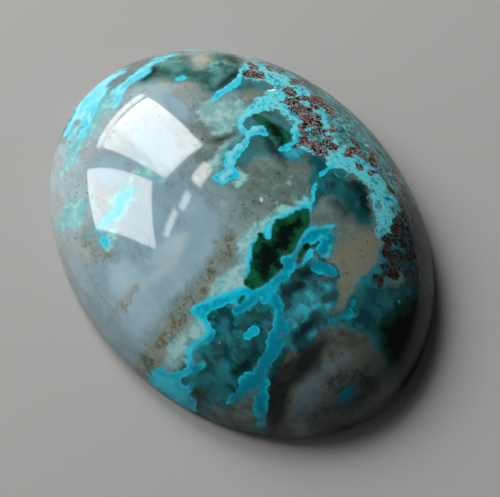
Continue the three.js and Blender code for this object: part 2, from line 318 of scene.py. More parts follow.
# the mottled turquoise mass along one side, which the copper-brown clusters sit in
RIM_LOOPS = [
    [(-12.9, 8.8), (-12.3, 7.8), (-11.4, 7.6), (-10.6, 7.0), (-10.1, 7.4), (-9.7, 8.0), (-9.0, 8.4),
     (-8.5, 8.3), (-8.2, 7.2), (-7.9, 6.3), (-7.4, 5.6), (-7.0, 4.9), (-6.7, 5.2), (-6.4, 6.0),
     (-6.0, 7.0), (-5.0, 7.3), (-4.0, 7.4), (-3.2, 7.1), (-2.5, 6.9), (-1.9, 6.6), (-1.5, 6.9),
     (-0.9, 6.9), (-0.3, 7.4), (0.2, 8.0), (1.2, 8.2), (1.8, 8.9), (2.5, 9.1), (3.1, 9.5),
     (4.0, 10.0), (4.8, 9.7), (5.6, 9.3), (6.6, 9.0), (7.6, 8.6), (8.2, 7.9), (8.7, 7.7), (9.3, 8.2),
     (9.9, 7.9), (10.5, 7.2), (11.2, 6.5), (11.5, 5.6), (12.2, 5.2), (12.6, 5.9), (12.5, 7.2),
     (12.2, 8.2), (13.0, 8.8), (13.9, 9.2), (13.9, 10.7), (13.0, 13.0), (10.0, 15.5), (5.0, 17.0),
     (0.0, 17.0), (-6.0, 16.5), (-10.0, 14.5), (-12.5, 12.5), (-12.6, 10.5), (-12.9, 9.7)],
]

# where the mottled mass breaks up into grey-green lace
LACE_SPOTS = [
    (-2.2, 11.2, 2.4, 1.1), (-4.6, 12.2, 2.6, 1.1), (0.2, 12.6, 3.4, 1.1), (3.6, 13.0, 2.6, 0.9),
    (1.2, 11.4, 1.2, 0.8), (-7.6, 11.8, 2.0, 1.0), (6.4, 12.4, 1.8, 0.9), (-1.6, 8.4, 1.5, 0.9),
    (-4.6, 8.8, 1.4, 0.7), (3.2, 12.0, 1.2, 0.5), (6.9, 10.9, 1.2, 0.5), (-0.6, 10.4, 1.0, 0.5),
]

# copper-brown grains, which lie in clusters in the mottled mass
COPPER_SPOTS = [
    (-12.0, 8.3, 0.5, 0.35), (-11.0, 7.4, 0.5, 0.55), (-10.6, 8.2, 0.5, 0.35),
    (-11.2, 9.8, 0.45, 0.35), (-10.8, 10.4, 0.3, 0.45), (-8.8, 10.9, 0.45, 0.55), (-7.6, 9.4, 0.5, 0.45),
    (-6.5, 9.9, 0.25, 0.55), (-6.4, 8.7, 0.35, 0.5), (-5.6, 8.9, 0.65, 0.55), (-4.9, 9.5, 0.5, 0.35),
    (-5.4, 8.3, 0.5, 0.25), (-5.6, 10.6, 0.85, 0.35), (-5.9, 11.3, 0.65, 0.4), (-4.5, 11.5, 0.45, 0.4),
    (-4.0, 10.0, 0.35, 0.2), (-4.0, 9.0, 0.5, 0.45), (-3.2, 9.4, 0.45, 0.4), (-3.4, 8.4, 0.35, 0.5),
    (-2.4, 9.2, 0.5, 0.35), (-2.8, 7.8, 0.45, 0.35), (-1.9, 7.3, 0.5, 0.35), (-1.8, 6.6, 0.15, 0.5),
    (-1.1, 7.6, 0.5, 0.35), (-1.2, 8.2, 0.4, 0.25), (-0.4, 8.0, 0.45, 0.45), (-0.9, 9.0, 0.5, 0.45),
    (-0.5, 9.4, 0.4, 0.25), (-2.2, 10.4, 0.12, 0.3), (0.0, 11.4, 0.5, 0.15), (0.4, 10.8, 0.4, 0.45),
    (0.7, 10.2, 0.25, 0.25), (0.6, 11.4, 0.3, 0.15), (1.8, 11.8, 0.45, 0.3), (2.1, 10.4, 0.3, 0.2),
    (2.9, 11.2, 0.15, 0.35), (3.1, 13.5, 0.2, 0.3), (4.5, 13.1, 0.25, 0.35), (5.0, 11.8, 0.65, 0.12),
    (5.6, 12.8, 0.5, 0.15), (7.3, 12.5, 0.45, 0.45), (8.2, 10.5, 0.65, 0.5), (9.2, 10.5, 0.6, 0.45),
    (9.5, 9.6, 0.55, 0.6), (9.0, 8.9, 0.25, 0.55), (9.6, 8.4, 0.35, 0.25), (8.6, 11.4, 0.45, 0.5),
    (10.0, 11.4, 0.35, 0.35), (10.4, 7.8, 0.45, 0.35), (11.2, 7.9, 0.65, 0.5), (11.9, 7.3, 0.4, 0.65),
    (11.2, 7.1, 0.35, 0.35), (11.9, 5.7, 0.4, 0.3), (11.3, 10.3, 0.65, 0.5), (12.3, 9.7, 0.65, 0.45),
    (13.0, 10.3, 0.5, 0.5), (12.9, 9.1, 0.35, 0.2), (11.8, 11.2, 0.45, 0.35), (9.0, 9.9, 0.8, 0.6),
    (10.3, 10.7, 0.7, 0.5), (12.2, 10.6, 0.7, 0.6), (10.6, 8.7, 0.45, 0.35), (7.6, 11.6, 0.6, 0.35),
    (9.1, 11.7, 0.6, 0.4), (-2.4, 8.6, 0.35, 0.3), (-1.5, 9.4, 0.3, 0.2), (1.0, 12.3, 0.5, 0.12),
    (6.4, 11.8, 0.4, 0.2), (10.9, 9.5, 0.3, 0.5),
]

# clouds of milky blue-white chalcedony
MILK_SPOTS = [
    (2.6, -5.6, 3.0, 2.6), (3.2, -9.2, 2.6, 3.4), (0.2, -4.2, 3.0, 1.6), (1.2, -7.6, 1.2, 2.2),
    (1.0, -12.0, 4.2, 2.2), (-2.5, -8.0, 3.0, 3.0), (4.4, -12.2, 2.0, 2.0), (-8.0, -3.5, 5.0, 2.6),
    (-10.4, 0.0, 2.4, 0.9), (-17.4, 6.2, 1.3, 2.2), (-8.5, -8.0, 3.0, 2.0), (0.8, 4.3, 0.2, 0.3),
    (1.3, 3.8, 0.35, 0.25),
]

# the grey-blue cloud at the far end
END_CLOUD_STROKES = [
    [(16.3, 0.1, 0.3), (16.5, -1.7, 0.5), (16.8, -3.1, 0.75), (17.4, -4.5, 0.8), (18.1, -5.4, 0.6)],
]

# tan and clear: beside the copper-brown clusters, and two small patches towards the near end
TAN_LOOPS = [
    [(8.3, 7.8), (9.3, 8.0), (9.9, 7.7), (10.5, 7.0), (11.1, 6.3), (11.4, 5.4), (11.7, 4.4), (12.0, 3.3),
     (12.6, 1.8), (12.2, 1.6), (11.7, 2.2), (11.0, 2.3), (10.4, 2.6), (9.3, 2.7), (8.8, 3.0),
     (8.4, 3.6), (7.7, 4.2), (7.2, 5.2), (7.2, 6.5), (8.0, 7.3)],
    [(-16.0, 6.0), (-14.6, 6.3), (-13.5, 5.5), (-13.3, 4.3), (-14.2, 3.8), (-15.4, 4.3)],
    [(-8.9, 7.0), (-8.0, 7.1), (-7.7, 5.8), (-8.6, 5.3), (-9.2, 6.0)],
]

# shade in the clear stone, where something near black lies deep
SHADE_STROKES = [
    [(14.45, -1.0, 0.25), (14.9, -2.6, 0.6), (15.1, -4.2, 0.75), (15.4, -5.6, 0.85), (16.3, -6.6, 0.85),
     (17.0, -7.2, 0.5)],
    [(12.3, -6.2, 0.1), (12.8, -7.4, 0.2), (12.7, -8.3, 0.1)],
    [(3.3, 8.9, 0.2), (4.1, 9.2, 0.4), (5.2, 8.7, 0.3), (6.4, 8.3, 0.2)],
    [(-5.2, 2.6, 0.1), (-5.3, 1.6, 0.2), (-5.4, 0.8, 0.2)],
    [(-14.2, 7.4, 0.3), (-13.3, 7.3, 0.3)],
    [(-16.5, 1.0, 0.1), (-16.1, 0.7, 0.3), (-15.7, 0.0, 0.2), (-15.4, -0.7, 0.05)],
    [(-12.0, 6.8, 0.05), (-11.5, 6.2, 0.2), (-11.1, 5.4, 0.2), (-10.8, 4.5, 0.15), (-10.5, 3.6, 0.05)],
    [(-3.9, 4.7, 0.1), (-2.6, 4.5, 0.25), (-1.2, 4.4, 0.2), (-0.3, 4.5, 0.05)],
    [(9.0, 1.2, 0.3), (9.1, 0.3, 0.2)],
    [(9.8, -0.3, 0.2), (9.7, -1.6, 0.2)],
    [(12.7, -1.0, 0.2), (13.1, -2.8, 0.3)],
]

# the pale outline of a lens in the milky side
LENS_STROKES = [
    [(3.0, -13.8, 0.1), (2.3, -12.4, 0.2), (2.3, -10.8, 0.3), (2.5, -9.2, 0.35), (2.0, -7.5, 0.3),
     (0.9, -6.2, 0.15)],
    [(-5.0, -13.0, 0.05), (-4.2, -13.3, 0.12), (-2.9, -12.9, 0.05)],
]

# thin pale threads in the clear stone and along the mottled mass
THREAD_STROKES = [
    [(1.7, 8.7, 0.04), (1.6, 8.2, 0.05), (1.9, 7.9, 0.04), (2.4, 7.95, 0.05), (2.7, 8.4, 0.05),
     (2.5, 8.85, 0.04), (2.0, 8.95, 0.04), (1.7, 8.7, 0.04)],
    [(12.2, 8.2, 0.04), (12.6, 7.5, 0.07), (12.5, 6.5, 0.05), (12.65, 5.8, 0.07), (12.4, 5.2, 0.04)],
    [(4.4, 9.75, 0.04), (5.4, 9.35, 0.08), (6.6, 8.95, 0.05), (7.7, 8.6, 0.08)],
    [(10.9, -0.6, 0.05), (11.2, -0.15, 0.1), (11.6, -0.5, 0.06), (11.8, -0.1, 0.1), (11.9, 0.3, 0.05)],
    [(11.0, -1.2, 0.05), (11.6, -1.0, 0.12), (12.2, -1.3, 0.12), (12.4, -1.9, 0.06)],
    [(9.2, 1.5, 0.04), (9.5, 1.9, 0.08), (9.4, 2.4, 0.05)],
    [(13.6, 2.9, 0.04), (13.9, 2.4, 0.06), (13.8, 1.9, 0.04)],
]

# buff specks of bare stone
BUFF_SPOTS = [
    (8.75, 2.85, 0.4, 0.22), (8.2, 2.15, 0.25, 0.15), (10.0, 1.95, 0.25, 0.35), (15.65, 1.0, 0.3, 0.5),
    (14.35, 0.9, 0.35, 0.25), (11.6, -4.6, 0.3, 0.12), (13.5, -6.6, 0.3, 0.2),
]

# dusk in the clear stone and its veils, where dark teal lies deep
DUSK_STROKES = [
    [(-0.3, 7.0, 0.5), (0.7, 7.3, 0.7), (1.4, 6.8, 0.4)],
    [(4.6, 6.4, 0.5), (5.6, 6.7, 0.6)],
    [(-6.2, 6.5, 0.15), (-6.25, 6.1, 0.15)],
    [(2.6, 8.2, 0.4), (3.4, 6.6, 0.4)],
    [(4.0, 8.0, 0.7), (5.2, 7.4, 0.8), (6.8, 7.6, 0.6)],
    [(12.9, 6.4, 0.4), (12.9, 4.4, 0.4), (13.8, 3.2, 0.6), (15.0, 3.0, 0.5)],
    [(11.4, -4.8, 0.3), (12.2, -5.8, 0.5), (12.7, -7.6, 0.4)],
    [(10.0, 9.4, 0.5), (11.6, 9.0, 0.5)],
]

# olive-brown moss: a wisp in the tan patch, the band along the rivers, the ring at the far end
MOSS_STROKES = [
    [(8.7, 4.2, 0.1), (9.5, 3.8, 0.2), (10.3, 3.7, 0.1)],
    [(3.2, -3.0, 0.4), (4.2, -4.2, 0.7), (4.9, -5.4, 0.6), (5.6, -6.9, 0.6), (5.9, -8.2, 0.7),
     (6.4, -9.5, 0.8), (6.9, -10.8, 0.7), (7.4, -12.6, 0.8), (7.3, -13.6, 0.8)],
    [(17.9, -2.7, 0.2), (17.2, -1.8, 0.25), (17.3, -0.6, 0.3), (17.8, 0.4, 0.3), (18.6, 0.8, 0.3),
     (19.3, 0.1, 0.25), (19.5, -1.4, 0.15), (18.9, -2.7, 0.15)],
    [(-5.0, -12.7, 0.1), (-3.8, -12.5, 0.25), (-2.6, -12.4, 0.3), (-1.9, -12.0, 0.3), (-1.2, -11.4, 0.1)],
    [(2.3, -11.6, 0.05), (2.4, -12.6, 0.2), (2.6, -13.4, 0.1)],
]

# healed cracks in near white: partly the cracks' own pale colour, partly a painted glint where they catch the
# light
CRACK_GLINT_STROKES = [
    [(1.5, 0.95, 0.16), (1.72, 0.86, 0.12)],
    [(-5.8, 4.5, 0.03), (-5.6, 4.2, 0.04)],
    [(1.0, 3.7, 0.03), (1.4, 3.2, 0.03)],
    [(2.4, -12.6, 0.05), (2.45, -12.8, 0.05)],
    [(14.1, 6.6, 0.06), (14.15, 6.5, 0.04)],
    [(0.3, 2.1, 0.04), (0.35, 2.0, 0.03)],
    [(-8.35, 7.6, 0.08), (-8.25, 8.2, 0.1)],
    [(10.1, -8.2, 0.05), (10.3, -8.3, 0.04)],
]


# ---------------------------------------------------------------------------------------------
# Distances over the stone, in millimetres, positive inside a shape.

FAR = 3.0  # no shape is felt further off than this
CURVE_STEPS = 3  # points that a bend gets between two listed ones


def rounded(points, closed):
    """The listed points with smooth bends between them."""
    points = np.array(points, float)
    spans = len(points) if closed else len(points) - 1
    beyond = "wrap" if closed else "clip"
    made = []
    for index in range(spans):
        a, b, c, d = points.take(range(index - 1, index + 3), axis=0, mode=beyond)
        for step in range(CURVE_STEPS):
            t = step / CURVE_STEPS
            made.append(0.5 * (2 * b + (c - a) * t + (2 * a - 5 * b + 4 * c - d) * t * t
                               + (3 * b - a - 3 * c + d) * t ** 3))
    if not closed:
        made.append(points[-1])
    return np.array(made)


def nearby(places, shape, reach):
    """Which places lie within reach of a shape's box."""
    low, high = shape[:, :2].min(0) - reach, shape[:, :2].max(0) + reach
    return np.nonzero(((places >= low) & (places <= high)).all(1))[0]


def line_gaps(places, start, end):
    """How far each place is from a line, and the share of the way along it where it is nearest."""
    along = end - start
    share = np.clip(((places - start) @ along) / max(along @ along, 1e-12), 0, 1)
    return np.hypot(*(places - start - share[:, None] * along).T), share


def loop_depth(places, points):
    """How far each place lies inside a closed outline."""
    outline = rounded(points, True)
    depth = np.full(len(places), -FAR)
    near = nearby(places, outline, FAR)
    spot = places[near]
    closest = np.full(len(near), FAR)
    inside = np.zeros(len(near), bool)
    for start, end in zip(outline, np.roll(outline, -1, 0)):
        closest = np.minimum(closest, line_gaps(spot, start, end)[0])
        if start[1] != end[1]:
            crosses = (start[1] > spot[:, 1]) != (end[1] > spot[:, 1])
            reach = start[0] + (spot[:, 1] - start[1]) / (end[1] - start[1]) * (end[0] - start[0])
            inside ^= crosses & (spot[:, 0] < reach)
    depth[near] = np.where(inside, closest, -closest)
    return depth


def stroke_depth(places, points):
    """How far each place lies inside a line of changing width."""
    line = rounded(points, False)
    depth = np.full(len(places), -FAR)
    near = nearby(places, line, FAR)
    spot = places[near]
    best = np.full(len(near), -FAR)
    for start, end in zip(line[:-1], line[1:]):
        gap, share = line_gaps(spot, start[:2], end[:2])
        best = np.maximum(best, start[2] + share * (end[2] - start[2]) - gap)
    depth[near] = best
    return depth


def spot_depth(places, spot):
    """How far each place lies inside an oval, measured along its shorter half axis."""
    x, y, wide, tall = spot
    far = np.hypot((places[:, 0] - x) / wide, (places[:, 1] - y) / tall)
    return np.maximum((1 - far) * min(wide, tall), -FAR)


def merged(places, loops=(), strokes=(), spots=()):
    """The deepest of several shapes at each place."""
    depth = np.full(len(places), -FAR)
    for points in loops:
        depth = np.maximum(depth, loop_depth(places, points))
    for points in strokes:
        depth = np.maximum(depth, stroke_depth(places, points))
    for spot in spots:
        depth = np.maximum(depth, spot_depth(places, spot))
    return depth


CLOUD_THICK = 0.8  # how much a single soft oval fills at its middle
CLOUD_FALL = 1.2  # and how fast it thins out from there


def cloud(places, spots):
    """Soft ovals added up, from 0 outside to 1 in the thick of them."""
    left = np.ones(len(places))
    for x, y, wide, tall in spots:
        far = ((places[:, 0] - x) / wide) ** 2 + ((places[:, 1] - y) / tall) ** 2
        left *= 1 - CLOUD_THICK * np.exp(-CLOUD_FALL * far)
    return 1 - left


def mineral_fields(places):
    """Every mineral's depth at places on the stone, by name."""
    return {
        "turquoise": merged(places, TURQUOISE_LOOPS, TURQUOISE_STROKES),
        "pale": merged(places, PALE_LOOPS, PALE_STROKES),
        "teal": merged(places, TEAL_LOOPS, TEAL_STROKES),
        "veil": merged(places, VEIL_LOOPS, VEIL_STROKES),
        "smoky_green": merged(places, SMOKY_GREEN_LOOPS),
        "deep": merged(places, strokes=DEEP_STROKES),
        "light": merged(places, strokes=LIGHT_STROKES),
        "puff": cloud(places, PUFF_SPOTS),
        "green": merged(places, GREEN_LOOPS, GREEN_STROKES),
        "rim": merged(places, RIM_LOOPS),
        "lace": cloud(places, LACE_SPOTS),
        "lens": merged(places, strokes=LENS_STROKES),
        "thread": merged(places, strokes=THREAD_STROKES),
        "buff": merged(places, spots=BUFF_SPOTS),
        "copper": merged(places, spots=COPPER_SPOTS),
        "milk": cloud(places, MILK_SPOTS),
        "end_cloud": merged(places, strokes=END_CLOUD_STROKES),
        "tan": merged(places, TAN_LOOPS),
        "shade": merged(places, strokes=SHADE_STROKES),
        "dusk": merged(places, strokes=DUSK_STROKES),
        "moss": merged(places, strokes=MOSS_STROKES),
        "crack_glint": merged(places, strokes=CRACK_GLINT_STROKES),
    }


# ---------------------------------------------------------------------------------------------
# Settings

def amount(name, value, description, **limits):
    """A number setting, from 0 up unless its limits say otherwise."""
    limits = {"min": 0.0, **limits}
    return bpy.props.FloatProperty(name=name, default=value, description=description, **limits)


def in_metres(name, value, description, **limits):
    """A length setting, in metres."""
    return amount(name, value, description, unit="LENGTH", precision=6, **limits)


def share_of_one(name, value, description):
    """A setting from 0 to 1."""
    return amount(name, value, description, max=1.0, subtype="FACTOR")


def in_degrees(name, degrees, description):
    """An angle setting, kept in radians."""
    return bpy.props.FloatProperty(
        name=name, default=math.radians(degrees), subtype="ANGLE", description=description)


def colour(name, value, description):
    """A colour setting."""
    return bpy.props.FloatVectorProperty(
        name=name, size=3, min=0.0, max=1.0, subtype="COLOR", default=value, description=description)


class StoneSettings(bpy.types.PropertyGroup):
    """The shape and finish of the stone."""
    dome_fullness: amount(
        "Dome fullness", 2.2, "2 gives an ellipsoid, more gives a flatter crown and fuller shoulders",
        min=1.5, max=4.0)
    girdle: in_metres("Girdle height", 0.8 * MM, "Top of the upright band round the edge, over the back")
    bevel: in_metres("Back bevel", 0.35 * MM, "Broken edge between the back and the girdle, both ways")
    drift: amount(
        "Hand-cut drift", 0.007, "How far the hand-ground outline strays from a true oval, as a share",
        max=0.05)
    drift_angle: in_degrees("Drift angle", -49, "Where the first lobe of the drift starts")
    cells: bpy.props.IntProperty(
        name="Cells across", default=264, min=40, max=270,
        description="How many faces run across the dome; a multiple of 4")
    polish: share_of_one("Polish roughness", 0.05, "Roughness of the polished face")
    ground: share_of_one("Back roughness", 0.5, "Roughness of the ground back and bevel")
    ripple: in_metres("Lap ripple", 0.012 * MM, "How far the polishing lap left the dome wavy")
    ior: amount("Refractive index", 1.54, "Refractive index of chalcedony", min=1.0, max=2.5)
    haze_reach: in_metres("Haze reach", 1.1 * MM, "How far light spreads under the milky stone")
    gloss: share_of_one("Gloss level", 0.36, "How much the worn polish mirrors, where 0.5 is a fresh one")
    absorption: amount("Absorption", 260.0, "How strongly the clear stone takes light up, per metre")


class MineralColours(bpy.types.PropertyGroup):
    """The colours of the minerals, in linear light."""
    grey: colour("Grey chalcedony", (0.33, 0.46, 0.44), "Grey-green stone on the crown")
    murk: colour("Murky chalcedony", (0.2, 0.28, 0.25), "Browner, darker parts of the crown")
    # the far end's dark tone: partly the stone's own smoky colour, partly painted shade on the end that faces
    # away from the light
    smoke_and_shade: colour("Smoky chalcedony", (0.08, 0.105, 0.09), "Dark clear stone at the far end")
    umber: colour("Umber chalcedony", (0.24, 0.275, 0.235), "Browner clear stone at the far end")
    ash: colour("Ash chalcedony", (0.39, 0.39, 0.37), "Paler, warmer stone towards the near end")
    milk: colour("Milk", (0.245, 0.375, 0.44), "Milky blue-white clouds")
    milk_bright: colour("Bright milk", (0.36, 0.49, 0.53), "The thickest of the milky clouds")
    tip: colour("Tip chalcedony", (0.13, 0.135, 0.125), "Clear brownish stone at the near tip")
    olive: colour("Olive chalcedony", (0.27, 0.295, 0.215), "Stained stone along the moss")
    smoky_green: colour("Smoky green", (0.014, 0.1, 0.076), "Dark green stone towards the near end")
    mist_green: colour("Mist green", (0.09, 0.28, 0.265), "Lighter parts of the smoky green stone")
    pale_buff: colour("Pale buff", (0.56, 0.6, 0.56), "Whitish outline of the lens in the milky side")
    buff: colour("Buff", (0.2, 0.19, 0.14), "Bare specks of stone among the veils")
    tan: colour("Tan", (0.4, 0.41, 0.3), "Tan, clear patch by the copper rim")
    glow: colour("Turquoise glow", (0.06, 0.3, 0.32), "Clear stone with a turquoise sheet behind it")
    turquoise: colour("Turquoise", (0.005, 0.52, 0.69), "Chrysocolla in the rivers")
    turquoise_deep: colour("Deep turquoise", (0.0, 0.21, 0.3), "Darker folds and the deeper rivers")
    turquoise_light: colour("Light turquoise", (0.035, 0.56, 0.73), "Chrysocolla in the near ribbons")
    lip_blue: colour("Lip blue", (0.04, 0.62, 0.78), "Bright lips of the rivers")
    ice: colour("Ice blue", (0.35, 0.9, 0.98), "Turquoise paled by the near tip")
    rim_light: colour("Pale threads", (0.25, 0.66, 0.68), "Bright threads and rims")
    rim_blue: colour("Rim blue", (0.1, 0.62, 0.7), "Turquoise of the mottled rim")
    rim_grey: colour("Rim grey", (0.12, 0.265, 0.255), "Grey-green stone at the mottled rim's edge")
    edge_dark: colour("Rim dark", (0.02, 0.055, 0.06), "Dark streaks at the mottled rim's edge")
    pale: colour("Pale turquoise", (0.32, 0.57, 0.56), "Mint fringes beside the turquoise")
    pale_deep: colour("Deeper mint", (0.1, 0.4, 0.42), "Bluer patches of the mint fringes")
    teal: colour("Teal", (0.004, 0.17, 0.19), "See-through teal")
    teal_dark: colour("Dark teal", (0.002, 0.06, 0.067), "The darkest of the teal")
    mist_teal: colour("Misty teal", (0.07, 0.24, 0.24), "Teal seen through murky stone")
    teal_light: colour("Light teal", (0.02, 0.24, 0.275), "Lighter veils in the teal")
    veil: colour("Veil blue", (0.009, 0.2, 0.25), "Blue veils in the stone beyond the ridge")
    veil_light: colour("Light veil", (0.035, 0.5, 0.61), "Puffs of lighter veil")
    green: colour("Green", (0.005, 0.108, 0.045), "Malachite green at the pockets' banks")
    black: colour("Black", (0.001, 0.006, 0.004), "The depth of the pockets")
    seam_teal: colour("Teal seams", (0.006, 0.13, 0.155), "Turquoise seams between the darkest grains")
    lilac: colour("Lilac threads", (0.33, 0.43, 0.47), "Pale threads that net the copper-brown grains")
    copper: colour("Copper brown", (0.11, 0.034, 0.02), "Cuprite in the rim")
    copper_dark: colour("Dark copper brown", (0.012, 0.008, 0.006), "Darker grains of the cuprite")
    ochre: colour("Ochre", (0.22, 0.12, 0.05), "Rusty grains among the cuprite")
    moss: colour("Moss", (0.06, 0.06, 0.022), "Olive-brown specks")
    # near-white healed cracks: partly their own pale colour, partly a painted glint
    crack_glint: colour("Fleck", (0.9, 0.93, 0.93), "Healed cracks that catch the light")


class StageSettings(bpy.types.PropertyGroup):
    """The floor, the light and the camera."""
    floor_size: in_metres("Floor size", 3.0, "Side of the floor", min=0.1)
    floor_colour: colour("Floor colour", (0.35, 0.345, 0.335), "Plain pale floor")
    floor_gap: in_metres("Floor gap", 0.02 * MM, "Hair's breadth between the stone's back and the floor")
    pane_light: amount("Pane brightness", 13.6, "Brightness of the lit panes that the dome mirrors")
    side_light: amount(
        "Side fill", 0.65, "Brightness of the wide, dim light on the side that the milky stone faces")
    sky: amount("Fill", 0.05, "Strength of the even fill light")
    camera_far: in_metres("Camera distance", 0.18, "From the camera to the stone's middle", min=0.05)
    camera_turn: in_degrees("Camera azimuth", 58.84, "Round the stone, from -Y towards +X")
    camera_rise: in_degrees("Camera height", 60, "Angle above the floor")
    lens: amount("Lens", 150.37, "Focal length on a 36 mm frame, in millimetres", min=10)


SETTINGS = {"stone_shape": StoneSettings, "stone_colours": MineralColours, "stone_stage": StageSettings}


# ---------------------------------------------------------------------------------------------
# Shader maths as expressions

class Wire:
    """A socket that can be reckoned with."""

    def __init__(self, bench, socket):
        self.bench = bench
        self.socket = socket

    def _with(self, operation, *others):
        return self.bench.node("ShaderNodeMath", {"operation": operation}, [self, *others])

    def __add__(self, other):
        return self._with("ADD", other)

    def __sub__(self, other):
        return self._with("SUBTRACT", other)

    def __mul__(self, other):
        return self._with("MULTIPLY", other)

    def __truediv__(self, other):
        return self._with("DIVIDE", other)

    def __pow__(self, other):
        return self._with("POWER", other)

    def __rsub__(self, other):
        return self.bench.node("ShaderNodeMath", {"operation": "SUBTRACT"}, [other, self])

    def over(self, other):
        """The larger of the two."""
        return self._with("MAXIMUM", other)

    def tinted(self, share, colour):
        """This colour with a share of another laid over it."""
        return self.bench.blend(share, self, colour)

    def size(self):
        """Its distance from 0."""
        return self._with("ABSOLUTE")

    def rise(self, low, high):
        """0 below low, 1 above high and smooth between."""
        return self.bench.node(
            "ShaderNodeMapRange", {"interpolation_type": "SMOOTHSTEP"},
            {"Value": self, "From Min": low, "From Max": high})


class Bench:
    """Makes the nodes of one material."""

    def __init__(self, name):
        self.material = bpy.data.materials.new(name)
        self.material.use_nodes = True
        self.tree = self.material.node_tree
        self.tree.nodes.clear()

    def node(self, kind, settings=None, values=(), output=0):
        """One node: its type, its settings, which are set first, and its sockets' values or links."""
        made = self.tree.nodes.new(kind)
        for key, value in (settings or {}).items():
            setattr(made, key, value)
        pairs = values.items() if isinstance(values, dict) else enumerate(values)
        for key, value in pairs:
            if isinstance(value, Wire):
                self.tree.links.new(value.socket, made.inputs[key])
            elif made.inputs[key].type == "RGBA":
                made.inputs[key].default_value = (*value[:3], 1.0)
            else:
                made.inputs[key].default_value = value
        return Wire(self, made.outputs[output])

    def field(self, name):
        """One of the stone's mineral depths."""
        return self.node("ShaderNodeAttribute", {"attribute_name": name}, output="Fac")

    def place(self):
        """The place on the piece, in millimetres."""
        metres = self.node("ShaderNodeTexCoord", output="Object")
        return self.node("ShaderNodeVectorMath", {"operation": "SCALE"}, {0: metres, "Scale": 1 / MM})

    def grain(self, place, scale, detail=3.0, roughness=0.5, distortion=0.0):
        """Even noise about a middle of 0.5, with scale in waves a millimetre."""
        return self.node("ShaderNodeTexNoise", {}, {
            "Vector": place, "Scale": scale, "Detail": detail, "Roughness": roughness,
            "Distortion": distortion})

    def stretched(self, place, turn, factors):
        """A place turned about Z and pulled out along its axes."""
        return self.node("ShaderNodeMapping", {}, {
            "Vector": place, "Rotation": (0.0, 0.0, turn), "Scale": factors})

    def parts(self, vector):
        """The three numbers of a vector."""
        split = self.node("ShaderNodeSeparateXYZ", {}, [vector])
        return [Wire(self, output) for output in split.socket.node.outputs]

    def warped(self, place, scale, reach):
        """A place pushed about by noise, so that lines laid on it wander."""
        wave = self.node("ShaderNodeTexNoise", {}, {"Vector": place, "Scale": scale, "Detail": 2.0},
                         output="Color")
        push = self.node("ShaderNodeVectorMath", {"operation": "SUBTRACT"}, [wave, (0.5, 0.5, 0.5)])
        push = self.node("ShaderNodeVectorMath", {"operation": "SCALE"}, {0: push, "Scale": reach})
        return self.node("ShaderNodeVectorMath", {"operation": "ADD"}, [place, push])

    def blend(self, share, under, over):
        """The colour under with a share of the colour over."""
        return self.node("ShaderNodeMix", {"data_type": "RGBA"}, {0: share, 6: under, 7: over}, output=2)

    def either(self, share, first, second):
        """One shader with a share of another."""
        return self.node("ShaderNodeMixShader", {}, [share, first, second])

    def finish(self, surface, volume=None):
        """Wires the material's output and returns the material."""
        end = self.tree.nodes.new("ShaderNodeOutputMaterial")
        self.tree.links.new(surface.socket, end.inputs["Surface"])
        if volume is not None:
            self.tree.links.new(volume.socket, end.inputs["Volume"])
        return self.material


def settings():
    """The scene's three groups of settings."""
    scene = bpy.context.scene
    return scene.stone_shape, scene.stone_colours, scene.stone_stage


# ---------------------------------------------------------------------------------------------
# Materials

def crisp(field, ragged, soft):
    """A mineral's mask from its depth, with its edge moved about by ragged."""
    return ((field + ragged) / soft).rise(-1.0, 1.0)


def creases(field, middle, wide, narrow):
    """Thin lines where a field passes its middle: 0 beyond wide and 1 within narrow."""
    return (field - middle).size().rise(wide, narrow)


STREAK_ROUND = 9  # waves of the edge's streaks round the stone in a radian
STREAK_OUT = 38  # and from its middle out to the girdle


class Patterns:
    """The noises and the places that every mineral of the stone shares, in millimetres."""

    def __init__(self, bench, place):
        self.x, self.y, _ = bench.parts(place)
        self.near = self.x * -1
        self.fine = bench.grain(place, 1.25, 4.0, 0.55) - 0.5
        self.grit = bench.grain(place, 5.5, 3.0, 0.6) - 0.5
        self.broad = bench.grain(place, 0.28, 4.0, 0.55, 0.6) - 0.5
        self.ragged = self.fine * 1.7 + self.grit * 0.2
        self.bent = bench.warped(place, 1.3, 0.9)

        def drawn_out(degrees, factors, *grain):
            """Grain that is drawn out in one direction."""
            return bench.grain(bench.stretched(place, math.radians(degrees), factors), *grain)

        self.wisp = drawn_out(35, (0.35, 1.2, 1.0), 0.8, 4.0, 0.6, 1.2)
        self.veil = drawn_out(-50, (0.75, 1.1, 1.0), 0.75, 4.0, 0.6, 0.5)
        self.flow = drawn_out(-65, (0.5, 1.2, 1.0), 0.9, 3.0, 0.55, 0.5)
        # round the stone and out to the girdle, for streaks that follow the edge
        along, across = self.x / HALF_LONG, self.y / HALF_WIDE
        self.out = (along * along + across * across) ** 0.5
        angle = bench.node("ShaderNodeMath", {"operation": "ARCTAN2"}, [across, along])
        track = bench.node("ShaderNodeCombineXYZ", {}, [angle * STREAK_ROUND, self.out * STREAK_OUT, 0.0])
        self.streak = bench.grain(track, 1.0, 4.0, 0.65, 0.6)


